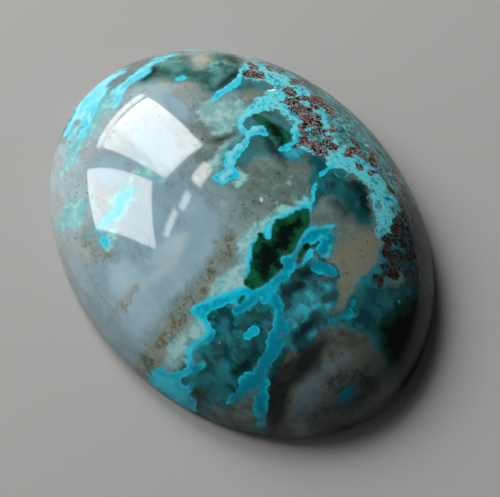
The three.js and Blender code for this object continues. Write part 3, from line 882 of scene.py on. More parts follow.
def clear_tone(bench, noises, tint):
    """The chalcedony without its clouds: its colour, how milky it is, and where moss stains it."""
    x, y, near = noises.x, noises.y, noises.near
    broad, fine, wisp = noises.broad, noises.fine, noises.wisp
    dust = (fine + broad + noises.grit * 0.3 + 0.5).rise(0.28, 0.72)
    tone = bench.blend(dust, tint.murk, tint.grey)
    side = (broad * 12 - y).rise(-0.5, 5.0)
    tone = tone.tinted(side * 0.8, bench.blend(wisp.rise(0.4, 0.62), tint.milk, tint.milk_bright))
    ashy = (near + broad * 10 - y * 0.35).rise(4.5, 12.5)
    tone = tone.tinted(ashy * 0.85, bench.blend(wisp.rise(0.4, 0.6), tint.ash, tint.milk_bright))
    tip = (near + broad * 4).rise(14.0, 17.5)
    tone = tone.tinted(tip * 0.9, tint.tip)
    edge = (noises.out + fine * 0.15).rise(0.82, 0.93) * (near + y * 2).rise(17.0, 27.0)
    tone = tone.tinted(edge * noises.streak.rise(0.4, 0.6) * 0.6, tint.pale)
    stain = crisp(bench.field("moss"), fine * 2.0 + 0.2, 0.6)
    tone = tone.tinted(stain * 0.75, tint.olive)
    # towards the far end the stone turns smoky and umber: partly its own colour, partly painted shade on the
    # end that faces away from the light
    far = (x - y * 0.2 + broad * 9).rise(11.5, 15.0)
    smoke_and_shade = bench.blend((fine * 0.5 + broad + 0.5).rise(0.36, 0.62), tint.smoke_and_shade, tint.umber)
    tone = tone.tinted(far, smoke_and_shade)
    tan = crisp(bench.field("tan"), fine * 1.4 + broad * 2, 0.7)
    tone = tone.tinted(tan * (x.size() + broad * 4).rise(5.5, 9.0) * 0.9, tint.tan)
    tone = tone.tinted(wisp.rise(0.56, 0.78) * (1 - far) * 0.3, tint.milk)
    green = crisp(bench.field("smoky_green") + 0.4, broad * 2.5 + fine * 0.8, 0.7)
    misty = (broad * 2 + fine + 0.5 + bench.field("puff") * 0.3).rise(0.3, 0.75)
    tone = tone.tinted(green * 0.93, bench.blend(misty, tint.smoky_green, tint.mist_green))
    return tone, (side * 0.6).over(ashy * 0.7).over(green * 0.5), stain


def murk_tone(bench, noises, tint):
    """The see-through and milky chalcedony, and how milky it is."""
    broad, fine = noises.broad, noises.fine
    tone, haze, stain = clear_tone(bench, noises, tint)
    milk = bench.field("milk")
    milky = (milk + (noises.wisp - 0.5) * 0.6 + fine * 0.12).rise(0.12, 0.75) * (1 - stain * 0.8)
    thick = (milk * 0.5 + bench.field("puff") * 0.5 + broad * 1.2).rise(0.35, 0.95)
    tone = tone.tinted(milky * 0.9, bench.blend(thick, tint.milk, tint.milk_bright))
    lens = (bench.field("lens") + fine * 0.8).rise(-0.6, 0.4)
    tone = tone.tinted(lens * 0.3, tint.pale_buff)
    end_cloud = crisp(bench.field("end_cloud"), fine * 0.6 + broad * 0.5, 0.5)
    tone = tone.tinted(end_cloud * 0.62, tint.milk)
    speck = bench.grain(noises.bent, 3.4, 2.0, 0.5).rise(0.64, 0.7)
    tone = tone.tinted(speck * (1 - milky) * 0.7, tint.moss)
    return tone, haze.over(milky).over(end_cloud * 0.5)


def teal_tone(bench, noises, tint):
    """Dark teal with lighter, bluer veils in it, misty towards the near end."""
    tone = bench.blend(noises.veil.rise(0.4, 0.54), tint.teal_dark, tint.teal)
    tone = tone.tinted(noises.veil.rise(0.54, 0.72) * 0.75, tint.teal_light)
    return tone.tinted(noises.near.rise(0.5, 2.5) * 0.4, tint.mist_teal)


def veil_tone(bench, noises, tint):
    """Blue veils with lighter puffs."""
    puff = noises.veil + noises.fine * 0.4 + (bench.field("puff") - 0.3) * 0.4
    tone = bench.blend(puff.rise(0.34, 0.5), tint.teal_dark, tint.veil)
    return tone.tinted(puff.rise(0.5, 0.72) * 0.8, tint.veil_light)


def vein_tone(bench, noises, tint, depth, deep):
    """Turquoise with darker folds, pale streaks at the near tip, light lips and a thin light rim."""
    x, near, fine, streak = noises.x, noises.near, noises.fine, noises.streak
    lightness = (near + noises.broad * 8).rise(-6.0, 6.0)
    tone = bench.blend(lightness, tint.turquoise, tint.turquoise_light)
    tone = tone.tinted(deep * 0.92, tint.turquoise_deep)
    inside = depth.rise(0.05, 0.3)
    fold = (noises.flow + fine * 0.3).rise(0.54, 0.4)
    tone = tone.tinted(inside * (fold * 0.45 + 0.2), tint.turquoise_deep)
    # the dark creases grow stronger towards the far end, partly as painted shade
    wrinkle = creases(bench.grain(noises.bent, 2.0, 3.0, 0.55), 0.5, 0.035, 0.0)
    tone = tone.tinted(inside * wrinkle * (x.rise(6.0, 12.0) * 0.25 + 0.4), tint.turquoise_deep)
    tip = near.rise(10.5, 14.5)
    tone = tone.tinted(tip * streak.rise(0.48, 0.6) * 0.65, tint.pale)
    tone = tone.tinted(tip * streak.rise(0.45, 0.36) * 0.65, tint.pale_deep)
    icy = near.rise(10.0, 17.0) * (noises.y * -1).rise(-3.0, 4.0)
    tone = tone.tinted(icy * 0.27, tint.ice)
    lip = crisp(bench.field("light"), fine * 1.2, 0.22)
    tone = tone.tinted(lip * 0.7, bench.blend(x.rise(2.0, 6.0), tint.rim_light, tint.lip_blue))
    rim = creases(depth, 0.07, 0.08, 0.02) * (noises.broad + fine + 0.5).rise(0.35, 0.6)
    tone = tone.tinted(rim * (1 - deep * 0.8) * 0.5, tint.lip_blue)
    speck = (fine + noises.grit * 0.4 + 0.5).rise(0.7, 0.76)
    return tone.tinted(speck * 0.5, tint.green)


def rim_tone(bench, noises, tint):
    """The mottled mass along one side: turquoise, mint and grey-green under a net of pale lines."""
    x, fine, streak = noises.x, noises.fine, noises.streak
    patch = bench.grain(noises.bent, 1.25, 5.0, 0.66, 0.4)
    tone = bench.blend(patch.rise(0.34, 0.46), tint.turquoise_deep, tint.rim_blue)
    tone = tone.tinted(patch.rise(0.54, 0.62), tint.rim_light)
    dark = (fine - noises.grit * 0.5 + 0.5).rise(0.55, 0.66)
    tone = tone.tinted(dark * 0.65, tint.teal_dark)
    tone = tone.tinted(creases(patch, 0.46, 0.02, 0.004) * 0.5, tint.rim_light)

    mesh = bench.grain(noises.bent, 2.3, 4.0, 0.65)
    lace = bench.blend(mesh.rise(0.44, 0.56), tint.edge_dark, tint.rim_grey)
    lace = lace.tinted(mesh.rise(0.58, 0.66), tint.rim_light)
    lacy = (bench.field("lace") + fine * 0.7).rise(0.2, 0.65)
    tone = tone.tinted(lacy * 0.8, lace)

    out = noises.out + fine * 0.2
    edge = bench.blend(streak.rise(0.44, 0.58), tint.edge_dark, tint.rim_grey)
    edge = edge.tinted(streak.rise(0.6, 0.7) * 0.5, tint.rim_light)
    tone = tone.tinted(out.rise(0.8, 0.92) * 0.9, edge)
    # darker towards the far end and along its far edge: partly the mass's own colour, partly painted shade on
    # the end that faces away from the light
    tone = tone.tinted((x + fine * 3).rise(7.5, 10.0) * 0.8, tint.teal_dark)
    far_edge_shade = (x + fine * 6).rise(4.0, 8.0) * out.rise(0.76, 0.86)
    return tone.tinted(far_edge_shade * 0.85, tint.copper_dark)


def copper_tone(bench, noises, tint):
    """Copper-brown grains netted with pale threads, near black and seamed towards the far end, the darkening
    partly painted shade.
    """
    fine, grit = noises.fine, noises.grit
    far = noises.x.rise(4.0, 8.5)
    tone = bench.blend((fine + grit * 0.5 + 0.5).rise(0.42, 0.6), tint.copper_dark, tint.copper)
    tone = tone.tinted((grit + fine + 0.5).rise(0.62, 0.72) * 0.6, tint.ochre)
    # darker towards the far end: partly the grains' own colour, partly painted shade on the end that faces
    # away from the light
    tone = tone.tinted(far * 0.85, tint.copper_dark)
    thread = creases(bench.grain(noises.bent, 2.2, 3.0, 0.6), 0.5, 0.042, 0.01)
    tone = tone.tinted(thread * (1 - far * 0.85) * 0.72, tint.lilac)
    seam = creases(bench.grain(noises.bent, 0.7, 3.0, 0.55), 0.5, 0.02, 0.006)
    return tone.tinted(seam * far * 0.8, tint.seam_teal)


def lay_veils(bench, noises, tint, tone, beside):
    """Lays the teal, the veils and the shades into the clear stone: the colour, and how solid it is."""
    fine, ragged = noises.fine, noises.ragged
    teal = crisp(bench.field("teal") + beside, ragged, 0.45)
    tone = tone.tinted(teal * 0.94, teal_tone(bench, noises, tint))
    veil = crisp(bench.field("veil") + beside, ragged, 0.3)
    tone = tone.tinted(veil * 0.92, veil_tone(bench, noises, tint))
    dusk = crisp(bench.field("dusk"), ragged, 0.8)
    tone = tone.tinted(dusk * 0.82, tint.teal_dark)
    shade = crisp(bench.field("shade") + 0.15, fine * 1.1, 0.45)
    tone = tone.tinted(shade * 0.88, tint.black)
    buff = crisp(bench.field("buff"), fine * 0.9, 0.2)
    tone = tone.tinted(buff * 0.75, tint.buff)
    thread = (bench.field("thread") + fine * 0.4).rise(-0.1, 0.06)
    tone = tone.tinted(thread * 0.6, tint.veil_light)
    return tone, (teal * 0.65).over(veil * 0.75).over(shade * 0.7)


def lay_mint(bench, noises, tint, tone, beside):
    """Lays on the mint fringes, deeper and thinner towards the near tip: the colour, and their mask."""
    mask = crisp(bench.field("pale") + beside * 0.6, noises.fine * 1.6, 0.4)
    thin = (noises.near + noises.broad * 6).rise(-1.0, 9.0)
    faint = noises.y.rise(-3.0, 1.0) * 0.34 + 0.15
    patch = (noises.fine * 1.5 + noises.grit * 0.25 + 0.56 - thin * 0.14).rise(0.3, 0.7)
    mint = bench.blend(patch, tint.pale_deep, tint.pale)
    return tone.tinted(mask * (0.93 - thin * faint), mint), mask


def lay_veins(bench, noises, tint, tone, turquoise):
    """Lays on the turquoise veins: the colour, and their mask."""
    worn = (noises.flow - 0.54).over(0.0) * noises.x.rise(9.5, 13.0) * 3.5
    depth = turquoise + noises.fine * 0.95 + noises.grit * 0.15 - worn
    deep = crisp(bench.field("deep"), noises.ragged, 0.4)
    # a vein's edge is crisp near the surface and soft where it lies deep, and soft at the near tip
    soft = deep * (0.38 - noises.x.rise(15.5, 17.0) * 0.3) + noises.near.rise(11.0, 15.0) * 0.14
    mask = (depth / (soft + 0.07)).rise(-1.0, 1.0)
    return tone.tinted(mask, vein_tone(bench, noises, tint, depth, deep)), mask


def lay_pockets(bench, noises, tint, tone, pocket):
    """Lays on the green pockets, black towards their middles: the colour, and their mask."""
    # towards the far end the pockets spread wider and turn black: partly their own colour, partly painted
    # shade on the end that faces away from the light
    far = noises.x.rise(10.0, 12.5)
    depth = pocket + noises.fine * 1.1
    mask = (depth / (far * 3 + 1)).rise(-0.16, 0.1)
    patches = noises.broad * 1.6 + noises.fine * 1.2 + noises.grit * 0.8 - bench.field("puff") * 0.6
    black = (depth + patches).rise(-0.5, 0.75).over(far * 0.7)
    return tone.tinted(mask, bench.blend(black, tint.green, tint.black)), mask


def lay_moss(bench, noises, tint, tone, place):
    """Lays on the moss in clumps, darker at the far end, partly as painted shade: the colour, and its mask.
    """
    clump = bench.grain(place, 0.95, 2.0, 0.5)
    speck = (bench.grain(noises.bent, 2.9, 5.0, 0.8) + clump * 0.75).rise(0.79, 1.0)
    mask = crisp(bench.field("moss"), noises.ragged, 0.6) * speck
    moss = bench.blend(noises.x.rise(12.0, 15.0), tint.moss, tint.copper_dark)
    return tone.tinted(mask * 0.8, moss), mask


def stone_colours(bench, place):
    """The whole stone's colour, the shares of it that are opaque and clear, its relief and its wear."""
    _, tint, _ = settings()
    noises = Patterns(bench, place)
    fine, grit, ragged = noises.fine, noises.grit, noises.ragged
    tone, haze = murk_tone(bench, noises, tint)

    # a glow of turquoise in the clear stone beside each vein, where its sheet runs down
    turquoise = bench.field("turquoise")
    glow = (turquoise + ragged * 1.4).rise(-0.9, 0.05) * (1 - haze * 0.6)
    tone = tone.tinted(glow * 0.6, tint.glow)

    # beside a vein everything else reaches in under its edge
    beside = turquoise.rise(-0.8, 0.0) * 0.5
    tone, veiled = lay_veils(bench, noises, tint, tone, beside)
    tone, mint = lay_mint(bench, noises, tint, tone, beside)
    pocket = bench.field("green")
    tone = tone.tinted((pocket + 0.12).rise(-0.15, 0.15) * 0.7, tint.teal_dark)
    rim = crisp(bench.field("rim") + beside, ragged * 1.3, noises.out.rise(0.8, 0.9) + 0.12)
    tone = tone.tinted(rim, rim_tone(bench, noises, tint))
    tone, vein = lay_veins(bench, noises, tint, tone, turquoise)
    tone, green = lay_pockets(bench, noises, tint, tone, pocket)
    copper = (bench.field("copper") + fine * 1.2 + grit * 0.5 + 0.12).rise(-0.05, 0.04)
    tone = tone.tinted(copper, copper_tone(bench, noises, tint))
    tone, moss = lay_moss(bench, noises, tint, tone, place)
    # the healed cracks laid on near white, partly as a painted glint
    tone = tone.tinted(bench.field("crack_glint").rise(-0.03, 0.03), tint.crack_glint)

    solid = vein.over(rim).over(copper).over(green * 0.95).over(mint * 0.7)
    solid = solid.over(veiled).over(moss * 0.7).over(glow * 0.4)
    clear = (1 - haze.over(mint)) * 0.45
    relief = (grit - 0.8) * copper
    # the polish goes off a little towards the girdle
    dull = noises.out.rise(0.86, 0.96) * 0.3
    return tone, solid, clear, relief, dull


CLEAR_TINT = (0.95, 0.97, 0.96)  # what the clear stone's skin lets through
DEPTH_TINT = (0.45, 0.52, 0.48)  # what its depth lets through
FLOOR_SHADE = (0.28, 0.28, 0.275)  # the floor's slightly darker patches


def stone_material(name, roughness):
    """Chalcedony: clear, milky or opaque mineral by turns, under one polish."""
    shape, _, _ = settings()
    bench = Bench(name)
    tone, solid, clear, relief, dull = stone_colours(bench, bench.place())
    polish = {
        "Roughness": dull + roughness, "IOR": shape.ior, "Specular IOR Level": shape.gloss,
        "Normal": bench.node("ShaderNodeBump", {}, {
            "Strength": 0.25, "Distance": 0.03 * MM, "Height": relief})}
    mineral = bench.node("ShaderNodeBsdfPrincipled", {}, {"Base Color": tone, **polish})
    milky = bench.node("ShaderNodeBsdfPrincipled", {"subsurface_method": "RANDOM_WALK"}, {
        "Base Color": tone, "Subsurface Weight": 1.0, "Subsurface Radius": (1.0, 0.95, 0.9),
        "Subsurface Scale": shape.haze_reach, **polish})
    glass = bench.node("ShaderNodeBsdfPrincipled", {}, {
        "Base Color": CLEAR_TINT, "Transmission Weight": 1.0, **polish})
    stone = bench.either(clear, milky, glass)
    volume = bench.node("ShaderNodeVolumeAbsorption", {}, {
        "Color": DEPTH_TINT, "Density": shape.absorption})
    return bench.finish(bench.either(solid, stone, mineral), volume)


def speck_material(name, dark, light, scale, roughness=0.6):
    """A sealed mineral: two tones in small patches."""
    bench = Bench(name)
    place = bench.place()
    patch = bench.grain(place, scale, 4.0, 0.6).rise(0.4, 0.6)
    skin = bench.node("ShaderNodeBump", {}, {
        "Strength": 0.4, "Distance": 0.02 * MM, "Height": bench.grain(place, scale * 3, 2.0)})
    return bench.finish(bench.node("ShaderNodeBsdfPrincipled", {}, {
        "Base Color": bench.blend(patch, dark, light), "Roughness": roughness, "Normal": skin}))


def floor_material():
    """A plain pale floor."""
    _, _, stage = settings()
    bench = Bench("pale floor")
    tone = bench.blend(bench.grain(bench.place(), 0.02, 3.0) * 0.1, stage.floor_colour, FLOOR_SHADE)
    return bench.finish(bench.node("ShaderNodeBsdfPrincipled", {}, {
        "Base Color": tone, "Roughness": 0.9, "Specular IOR Level": 0.2}))


# ---------------------------------------------------------------------------------------------
# Meshes

def mesh_piece(name, points, faces, materials, face_slots=None, smooth=True):
    """A mesh object in the scene."""
    mesh = bpy.data.meshes.new(name)
    mesh.from_pydata([tuple(p) for p in points], [], faces)
    mesh.validate()
    for material in materials:
        mesh.materials.append(material)
    if face_slots is not None:
        mesh.polygons.foreach_set("material_index", np.asarray(face_slots, np.int32))
    mesh.polygons.foreach_set("use_smooth", np.full(len(mesh.polygons), smooth))
    mesh.update()
    piece = bpy.data.objects.new(name, mesh)
    bpy.context.scene.collection.objects.link(piece)
    return piece


def outline_share(angle, shape):
    """How far the hand-cut outline stands out from a true oval at an angle."""
    return 1 + shape.drift * np.cos(3 * angle - shape.drift_angle)


def dome_height(share, shape):
    """Height over the back at a share of the way out to the girdle, in metres."""
    crown = STONE_HIGH.z - STONE_LOW.z
    rise = crown - shape.girdle
    return shape.girdle + rise * np.sqrt(np.clip(1 - np.clip(share, 0, 1) ** shape.dome_fullness, 0, 1))


OUTLINE_SAMPLES = 3600


def plan_frame(shape):
    """The half sizes of the true oval, and where its middle lies, so that the stone fills its box."""
    angle = np.linspace(0, 2 * math.pi, OUTLINE_SAMPLES, endpoint=False)
    share = outline_share(angle, shape)
    x, y = share * np.cos(angle), share * np.sin(angle)
    size = STONE_HIGH - STONE_LOW
    half = np.array([size.x / (x.max() - x.min()), size.y / (y.max() - y.min())])
    middle = np.array([(STONE_LOW.x + STONE_HIGH.x) / 2 - half[0] * (x.max() + x.min()) / 2,
                       (STONE_LOW.y + STONE_HIGH.y) / 2 - half[1] * (y.max() + y.min()) / 2])
    return half, middle


def surface_height(x, y, shape):
    """Height of the dome over a place in plan, in metres."""
    half, middle = plan_frame(shape)
    u, v = (x - middle[0]) / half[0], (y - middle[1]) / half[1]
    return dome_height(np.hypot(u, v) / outline_share(np.arctan2(v, u), shape), shape)


def square_disc(cells):
    """A square grid pressed into a unit disc: its points in rows, and its rim in order."""
    side = np.linspace(-1, 1, cells + 1)
    u, v = np.meshgrid(side, side)
    x = u * np.sqrt(1 - v * v / 2)
    y = v * np.sqrt(1 - u * u / 2)
    index = np.arange((cells + 1) ** 2).reshape(cells + 1, cells + 1)
    rim = np.concatenate([index[0, :-1], index[:-1, -1], index[-1, :0:-1], index[:0:-1, 0]])
    return np.c_[x.ravel(), y.ravel()], index, rim


def grid_faces(index, flip=False):
    """Four-sided faces between the rows of a grid of point numbers."""
    quads = np.stack([index[:-1, :-1], index[:-1, 1:], index[1:, 1:], index[1:, :-1]], -1).reshape(-1, 4)
    return (quads[:, ::-1] if flip else quads).tolist()


def even_share(shape, samples=2000):
    """Turns a share of the way along the dome's skin into a share of the way out in plan."""
    share = np.sin(np.linspace(0, math.pi / 2, samples))
    mean_radius = (STONE_HIGH.x - STONE_LOW.x + STONE_HIGH.y - STONE_LOW.y) / 4
    steps = np.hypot(np.diff(share * mean_radius), np.diff(dome_height(share, shape)))
    length = np.concatenate([[0], np.cumsum(steps)])
    return length / length[-1], share


GIRDLE_RINGS = 4
POLISHED, GROUND = 0, 1  # the stone's two material slots


def stone_mesh(shape):
    """The stone's points, its faces and the material slot of each face."""
    half, middle = plan_frame(shape)
    skin, out = even_share(shape)

    def spread(disc, shares, height):
        angle = np.arctan2(disc[:, 1], disc[:, 0])
        reach = shares * outline_share(angle, shape)
        return np.c_[middle[0] + half[0] * reach * np.cos(angle),
                     middle[1] + half[1] * reach * np.sin(angle),
                     STONE_LOW.z + height + np.zeros(len(disc))]

    disc, index, rim = square_disc(shape.cells)
    share = np.interp(np.hypot(*disc.T), skin, out)
    parts = [spread(disc, share, dome_height(share, shape))]
    faces = grid_faces(index)
    slots = [POLISHED] * len(faces)

    # the girdle, down to the top of the bevel
    ring = disc[rim]
    last, count = rim, len(parts[0])
    for height in np.linspace(shape.girdle, shape.bevel, GIRDLE_RINGS + 1)[1:]:
        parts.append(spread(ring, 1.0, height))
        this = np.arange(count, count + len(ring))
        faces += np.stack([this, np.roll(this, -1), np.roll(last, -1), last], 1).tolist()
        slots += [POLISHED] * len(ring)
        last, count = this, count + len(ring)

    # the bevel and the back, whose grid is half as fine
    back_share = 1 - shape.bevel / half.mean()
    back, back_index, back_rim = square_disc(shape.cells // 2)
    parts.append(spread(back, np.hypot(*back.T) * back_share, 0.0))
    inner = back_rim + count
    for step, (start, end) in enumerate(zip(inner, np.roll(inner, -1))):
        a, b, c = (last[(2 * step + n) % len(last)] for n in (0, 1, 2))
        faces += [[start, b, a], [start, end, b], [end, c, b]]
        slots += [GROUND] * 3
    under = grid_faces(back_index + count, flip=True)
    faces += under
    slots += [GROUND] * len(under)
    return np.vstack(parts), faces, slots


RIPPLE_WAVE = 5.5  # millimetres from one wave of the polish to the next


def lap_ripple(points, shape):
    """Moves the dome in by the faint waves that polishing by hand leaves."""
    for place in points:
        wave = noise.noise(Vector((place[0], place[1], 0.0)) / (RIPPLE_WAVE * MM))
        if place[2] > shape.girdle:
            depth = 0.5 + 0.5 * wave
            place[2] -= shape.ripple * depth * min((place[2] - shape.girdle) / MM, 1.0)
    return points


LEAN = np.array([0.32, -0.22])  # how far the veins slant for each millimetre down
WARP = 1.3  # how far, in millimetres, the pattern has wandered at the back
WARP_DEPTH = 8.0  # the depth at which it has wandered that far
WARP_SCALE = 0.22
WARP_SHIFT = Vector((9.0, 4.0, 2.0))  # takes the wandering across from another stretch of noise
SKIN_DEPTH = 0.05  # what lies less deep than this is the dome itself


def plan_places(points, shape):
    """Where on the dome's pattern each point lies: straight under it for the dome, and slanting below."""
    flat = points[:, :2] / MM
    under = (surface_height(points[:, 0], points[:, 1], shape) - points[:, 2] + STONE_LOW.z) / MM
    under = np.clip(under, 0, None)
    below = np.nonzero(under > SKIN_DEPTH)[0]
    flat[below] += under[below, None] * LEAN
    for number in below:
        spot = Vector((*flat[number], under[number])) * WARP_SCALE
        share = min(under[number] / WARP_DEPTH, 1.0) * WARP
        flat[number, 0] += share * noise.noise(spot)
        flat[number, 1] += share * noise.noise(spot + WARP_SHIFT)
    return flat


class StoneBuild(bpy.types.Operator):
    """Make the polished stone with its mineral fields and stand it in for the plain one"""
    bl_idname = "cabochon.stone"
    bl_label = "Polished stone"

    def execute(self, context):
        shape, _, _ = settings()
        points, faces, slots = stone_mesh(shape)
        points = lap_ripple(points, shape)
        skins = [stone_material("polished chalcedony", shape.polish),
                 stone_material("ground chalcedony", shape.ground)]
        piece = mesh_piece("polished_stone", points, faces, skins, slots)
        for name, values in mineral_fields(plan_places(points, shape)).items():
            made = piece.data.attributes.new(name, "FLOAT", "POINT")
            made.data.foreach_set("value", values.astype(np.float32))
        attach(piece, BODY)
        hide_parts(NODE)
        return {"FINISHED"}


SHEET_ROWS = 14
SHEET_STEP = 0.15  # millimetres along a sheet from one column to the next
TOP_COVER = 0.06  # clear stone left over a sheet, in millimetres
BACK_COVER = 0.25  # and the height over the back that nothing sealed goes below


def hung_sheet(path, depth, lean, thick, seed):
    """A closed, wavy sheet hanging from a line of (x, y) points in millimetres under the dome."""
    shape, _, _ = settings()
    line = rounded(path, False)
    steps = np.r_[0, np.cumsum(np.hypot(*np.diff(line, axis=0).T))]
    across = max(int(steps[-1] / SHEET_STEP), 8)
    along = np.linspace(0, steps[-1], across)
    x, y = np.interp(along, steps, line[:, 0]), np.interp(along, steps, line[:, 1])
    side = np.c_[-np.gradient(y), np.gradient(x)]
    side /= np.hypot(*side.T)[:, None]
    points = []
    for face, row, column in itertools.product((1, -1), range(SHEET_ROWS), range(across)):
        fall = row / (SHEET_ROWS - 1)
        spot = Vector((x[column], y[column], seed))
        reach = depth * (0.55 + 0.9 * abs(noise.noise(spot * 0.9)))
        wave = noise.noise(spot * 1.3 + Vector((0, 0, fall * 1.5))) * 0.35
        taper = math.sin(math.pi * min(max(column / (across - 1), 0.02), 0.98)) ** 0.4
        gap = face * thick / 2 * taper * (1 - 0.7 * fall)
        px = x[column] + lean[0] * fall * reach + side[column, 0] * (wave * fall + gap)
        py = y[column] + lean[1] * fall * reach + side[column, 1] * (wave * fall + gap)
        top = surface_height(px * MM, py * MM, shape) / MM
        pz = top - TOP_COVER - fall * reach * taper
        points.append((px * MM, py * MM, max(pz, BACK_COVER) * MM + STONE_LOW.z))
    index = np.arange(2 * SHEET_ROWS * across).reshape(2, SHEET_ROWS, across)
    faces = grid_faces(index[0]) + grid_faces(index[1], flip=True)
    rim = np.concatenate([index[:, 0, :-1], index[:, :-1, -1], index[:, -1, :0:-1], index[:, :0:-1, 0]], 1)
    after = np.roll(rim, -1, axis=1)
    return points, faces + np.stack([rim[1], after[1], after[0], rim[0]], 1).tolist()


# The sheets under the veins, in millimetres: the path in plan, how deep the sheet goes, how far it leans
# for each millimetre down, and how thick it is.
CURTAINS = [
    ([(8.4, -2.6), (8.3, -4.2), (7.7, -5.5), (7.2, -7.0), (7.0, -8.3)], 2.6, (0.5, 0.1), 0.5),
    ([(9.2, -2.8), (10.5, -2.8), (11.8, -3.6), (12.8, -4.9), (13.6, -6.2), (14.4, -7.2)],
     2.4, (-0.3, -0.5), 0.4),
    ([(6.4, 4.2), (6.5, 2.4), (7.3, 0.8), (8.2, -0.6), (8.6, -2.0)], 2.8, (0.5, 0.2), 0.4),
    ([(3.7, 3.6), (3.75, 2.0), (3.8, 0.8), (4.4, 0.0)], 2.4, (-0.4, 0.0), 0.35),
    ([(-4.8, 4.8), (-4.6, 3.4), (-3.9, 2.2), (-3.4, 0.9), (-2.3, 0.2), (-1.9, -0.8)], 2.4, (0.5, 0.35), 0.4),
    ([(-11.8, 7.1), (-10.9, 5.9), (-10.2, 4.6), (-9.8, 3.2)], 2.4, (0.5, 0.2), 0.35),
    ([(1.3, 8.2), (1.6, 7.0), (2.6, 5.6), (3.8, 4.4)], 1.8, (0.5, 0.4), 0.2),
    ([(-17.2, 1.0), (-16.5, -0.8), (-16.1, -2.4), (-15.2, -3.3)], 1.8, (0.4, 0.0), 0.3),
    ([(-5.3, -7.8), (-5.0, -9.2), (-4.4, -10.4)], 2.0, (0.2, 0.3), 0.3),
]


class CurtainBuild(bpy.types.Operator):
    """Hang the turquoise sheets that run down into the stone under its veins"""
    bl_idname = "cabochon.curtains"
    bl_label = "Sealed turquoise curtains"

    def execute(self, context):
        _, tint, _ = settings()
        points, faces = [], []
        for seed, (path, depth, lean, thick) in enumerate(CURTAINS):
            more, sides = hung_sheet(path, depth, lean, thick, seed * 3.7)
            faces += [[corner + len(points) for corner in side] for side in sides]
            points += more
        skin = speck_material("sealed turquoise", tint.turquoise_deep, tint.turquoise_light, 1.4)
        piece = mesh_piece("turquoise_curtains", points, faces, [skin])
        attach(piece, BODY)
        return {"FINISHED"}


def ball_points():
    """The corners and faces of a twenty-sided ball with each side cut in four."""
    golden = (1 + 5 ** 0.5) / 2
    corners = [(-1, golden, 0), (1, golden, 0), (-1, -golden, 0), (1, -golden, 0), (0, -1, golden),
               (0, 1, golden), (0, -1, -golden), (0, 1, -golden), (golden, 0, -1), (golden, 0, 1),
               (-golden, 0, -1), (-golden, 0, 1)]
    faces = [(0, 11, 5), (0, 5, 1), (0, 1, 7), (0, 7, 10), (0, 10, 11), (1, 5, 9), (5, 11, 4),
             (11, 10, 2), (10, 7, 6), (7, 1, 8), (3, 9, 4), (3, 4, 2), (3, 2, 6), (3, 6, 8), (3, 8, 9),
             (4, 9, 5), (2, 4, 11), (6, 2, 10), (8, 6, 7), (9, 8, 1)]
    corners = [Vector(c).normalized() for c in corners]
    middles, fine = {}, []
    for face in faces:
        mids = []
        for a, b in zip(face, face[1:] + face[:1]):
            key = (min(a, b), max(a, b))
            if key not in middles:
                middles[key] = len(corners)
                corners.append(((corners[a] + corners[b]) / 2).normalized())
            mids.append(middles[key])
        a, b, c = face
        x, y, z = mids
        fine += [(a, x, z), (x, b, y), (z, y, c), (x, y, z)]
    return corners, fine


GRAIN_COVER = 0.3  # stone left under a grain, in millimetres


def scatter_grains(rng, places, depths, size):
    """Rough little grains at (x, y) places in millimetres, each at its own depth under the dome."""
    shape, _, _ = settings()
    corners, sides = ball_points()
    points, faces = [], []
    for (x, y), depth in zip(places, depths):
        scale = size * rng.uniform(0.5, 1.3)
        stretch = Vector((rng.uniform(0.6, 1.6), rng.uniform(0.6, 1.6), rng.uniform(0.5, 1.0)))
        turn = rng.uniform(0, math.pi)
        top = float(surface_height(x * MM, y * MM, shape)) / MM
        z = max(top - depth - scale, GRAIN_COVER + scale)
        seed = Vector((x, y, depth)) * 3.1
        faces += [[corner + len(points) for corner in side] for side in sides]
        for corner in corners:
            rough = 1 + 0.55 * noise.noise(corner * 1.4 + seed)
            local = Vector([corner[axis] * stretch[axis] * scale * rough for axis in range(3)])
            px = x + local.x * math.cos(turn) - local.y * math.sin(turn)
            py = y + local.x * math.sin(turn) + local.y * math.cos(turn)
            points.append((px * MM, py * MM, (z + local.z) * MM + STONE_LOW.z))
    return points, faces


BOX_REACH = (18.5, 13.6)  # half the box that places are drawn in, in millimetres
OVAL_REACH = (19.3, 14.3)  # the half axes of the oval that they are kept in
DRAWS = 2000  # places drawn at a time


def picked_places(rng, count, wanted):
    """Random places on the stone, kept with the chance that wanted gives for each."""
    found = []
    while len(found) < count:
        tries = np.array([[rng.uniform(-reach, reach) for reach in BOX_REACH] for _ in range(DRAWS)])
        tries = tries[np.hypot(*(tries / OVAL_REACH).T) < 1]
        keep = wanted(tries) > np.array([rng.random() for _ in tries])
        found += [tuple(place) for place in tries[keep]]
    return found[:count]


MOSS_SEED, MOSS_COUNT, MOSS_SIZE = 11, 620, 0.12


class MossBuild(bpy.types.Operator):
    """Seal the olive-brown moss specks in the clear stone"""
    bl_idname = "cabochon.moss"
    bl_label = "Sealed moss specks"

    def execute(self, context):
        _, tint, _ = settings()
        rng = random.Random(MOSS_SEED)

        def mossy(places):
            band = merged(places, strokes=MOSS_STROKES)
            tan = merged(places, TAN_LOOPS)
            return np.clip(0.5 + band * 0.7, 0, 1) + 0.18 * (tan > 0) + 0.03

        places = picked_places(rng, MOSS_COUNT, mossy)
        depths = [0.04 + 1.0 * rng.random() ** 2 for _ in places]
        points, faces = scatter_grains(rng, places, depths, MOSS_SIZE)
        skin = speck_material("sealed moss", tint.moss, tint.copper_dark, 5.0)
        piece = mesh_piece("moss_specks", points, faces, [skin])
        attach(piece, BODY)
        return {"FINISHED"}


COPPER_SEED, COPPER_COUNT, COPPER_SIZE = 23, 260, 0.16


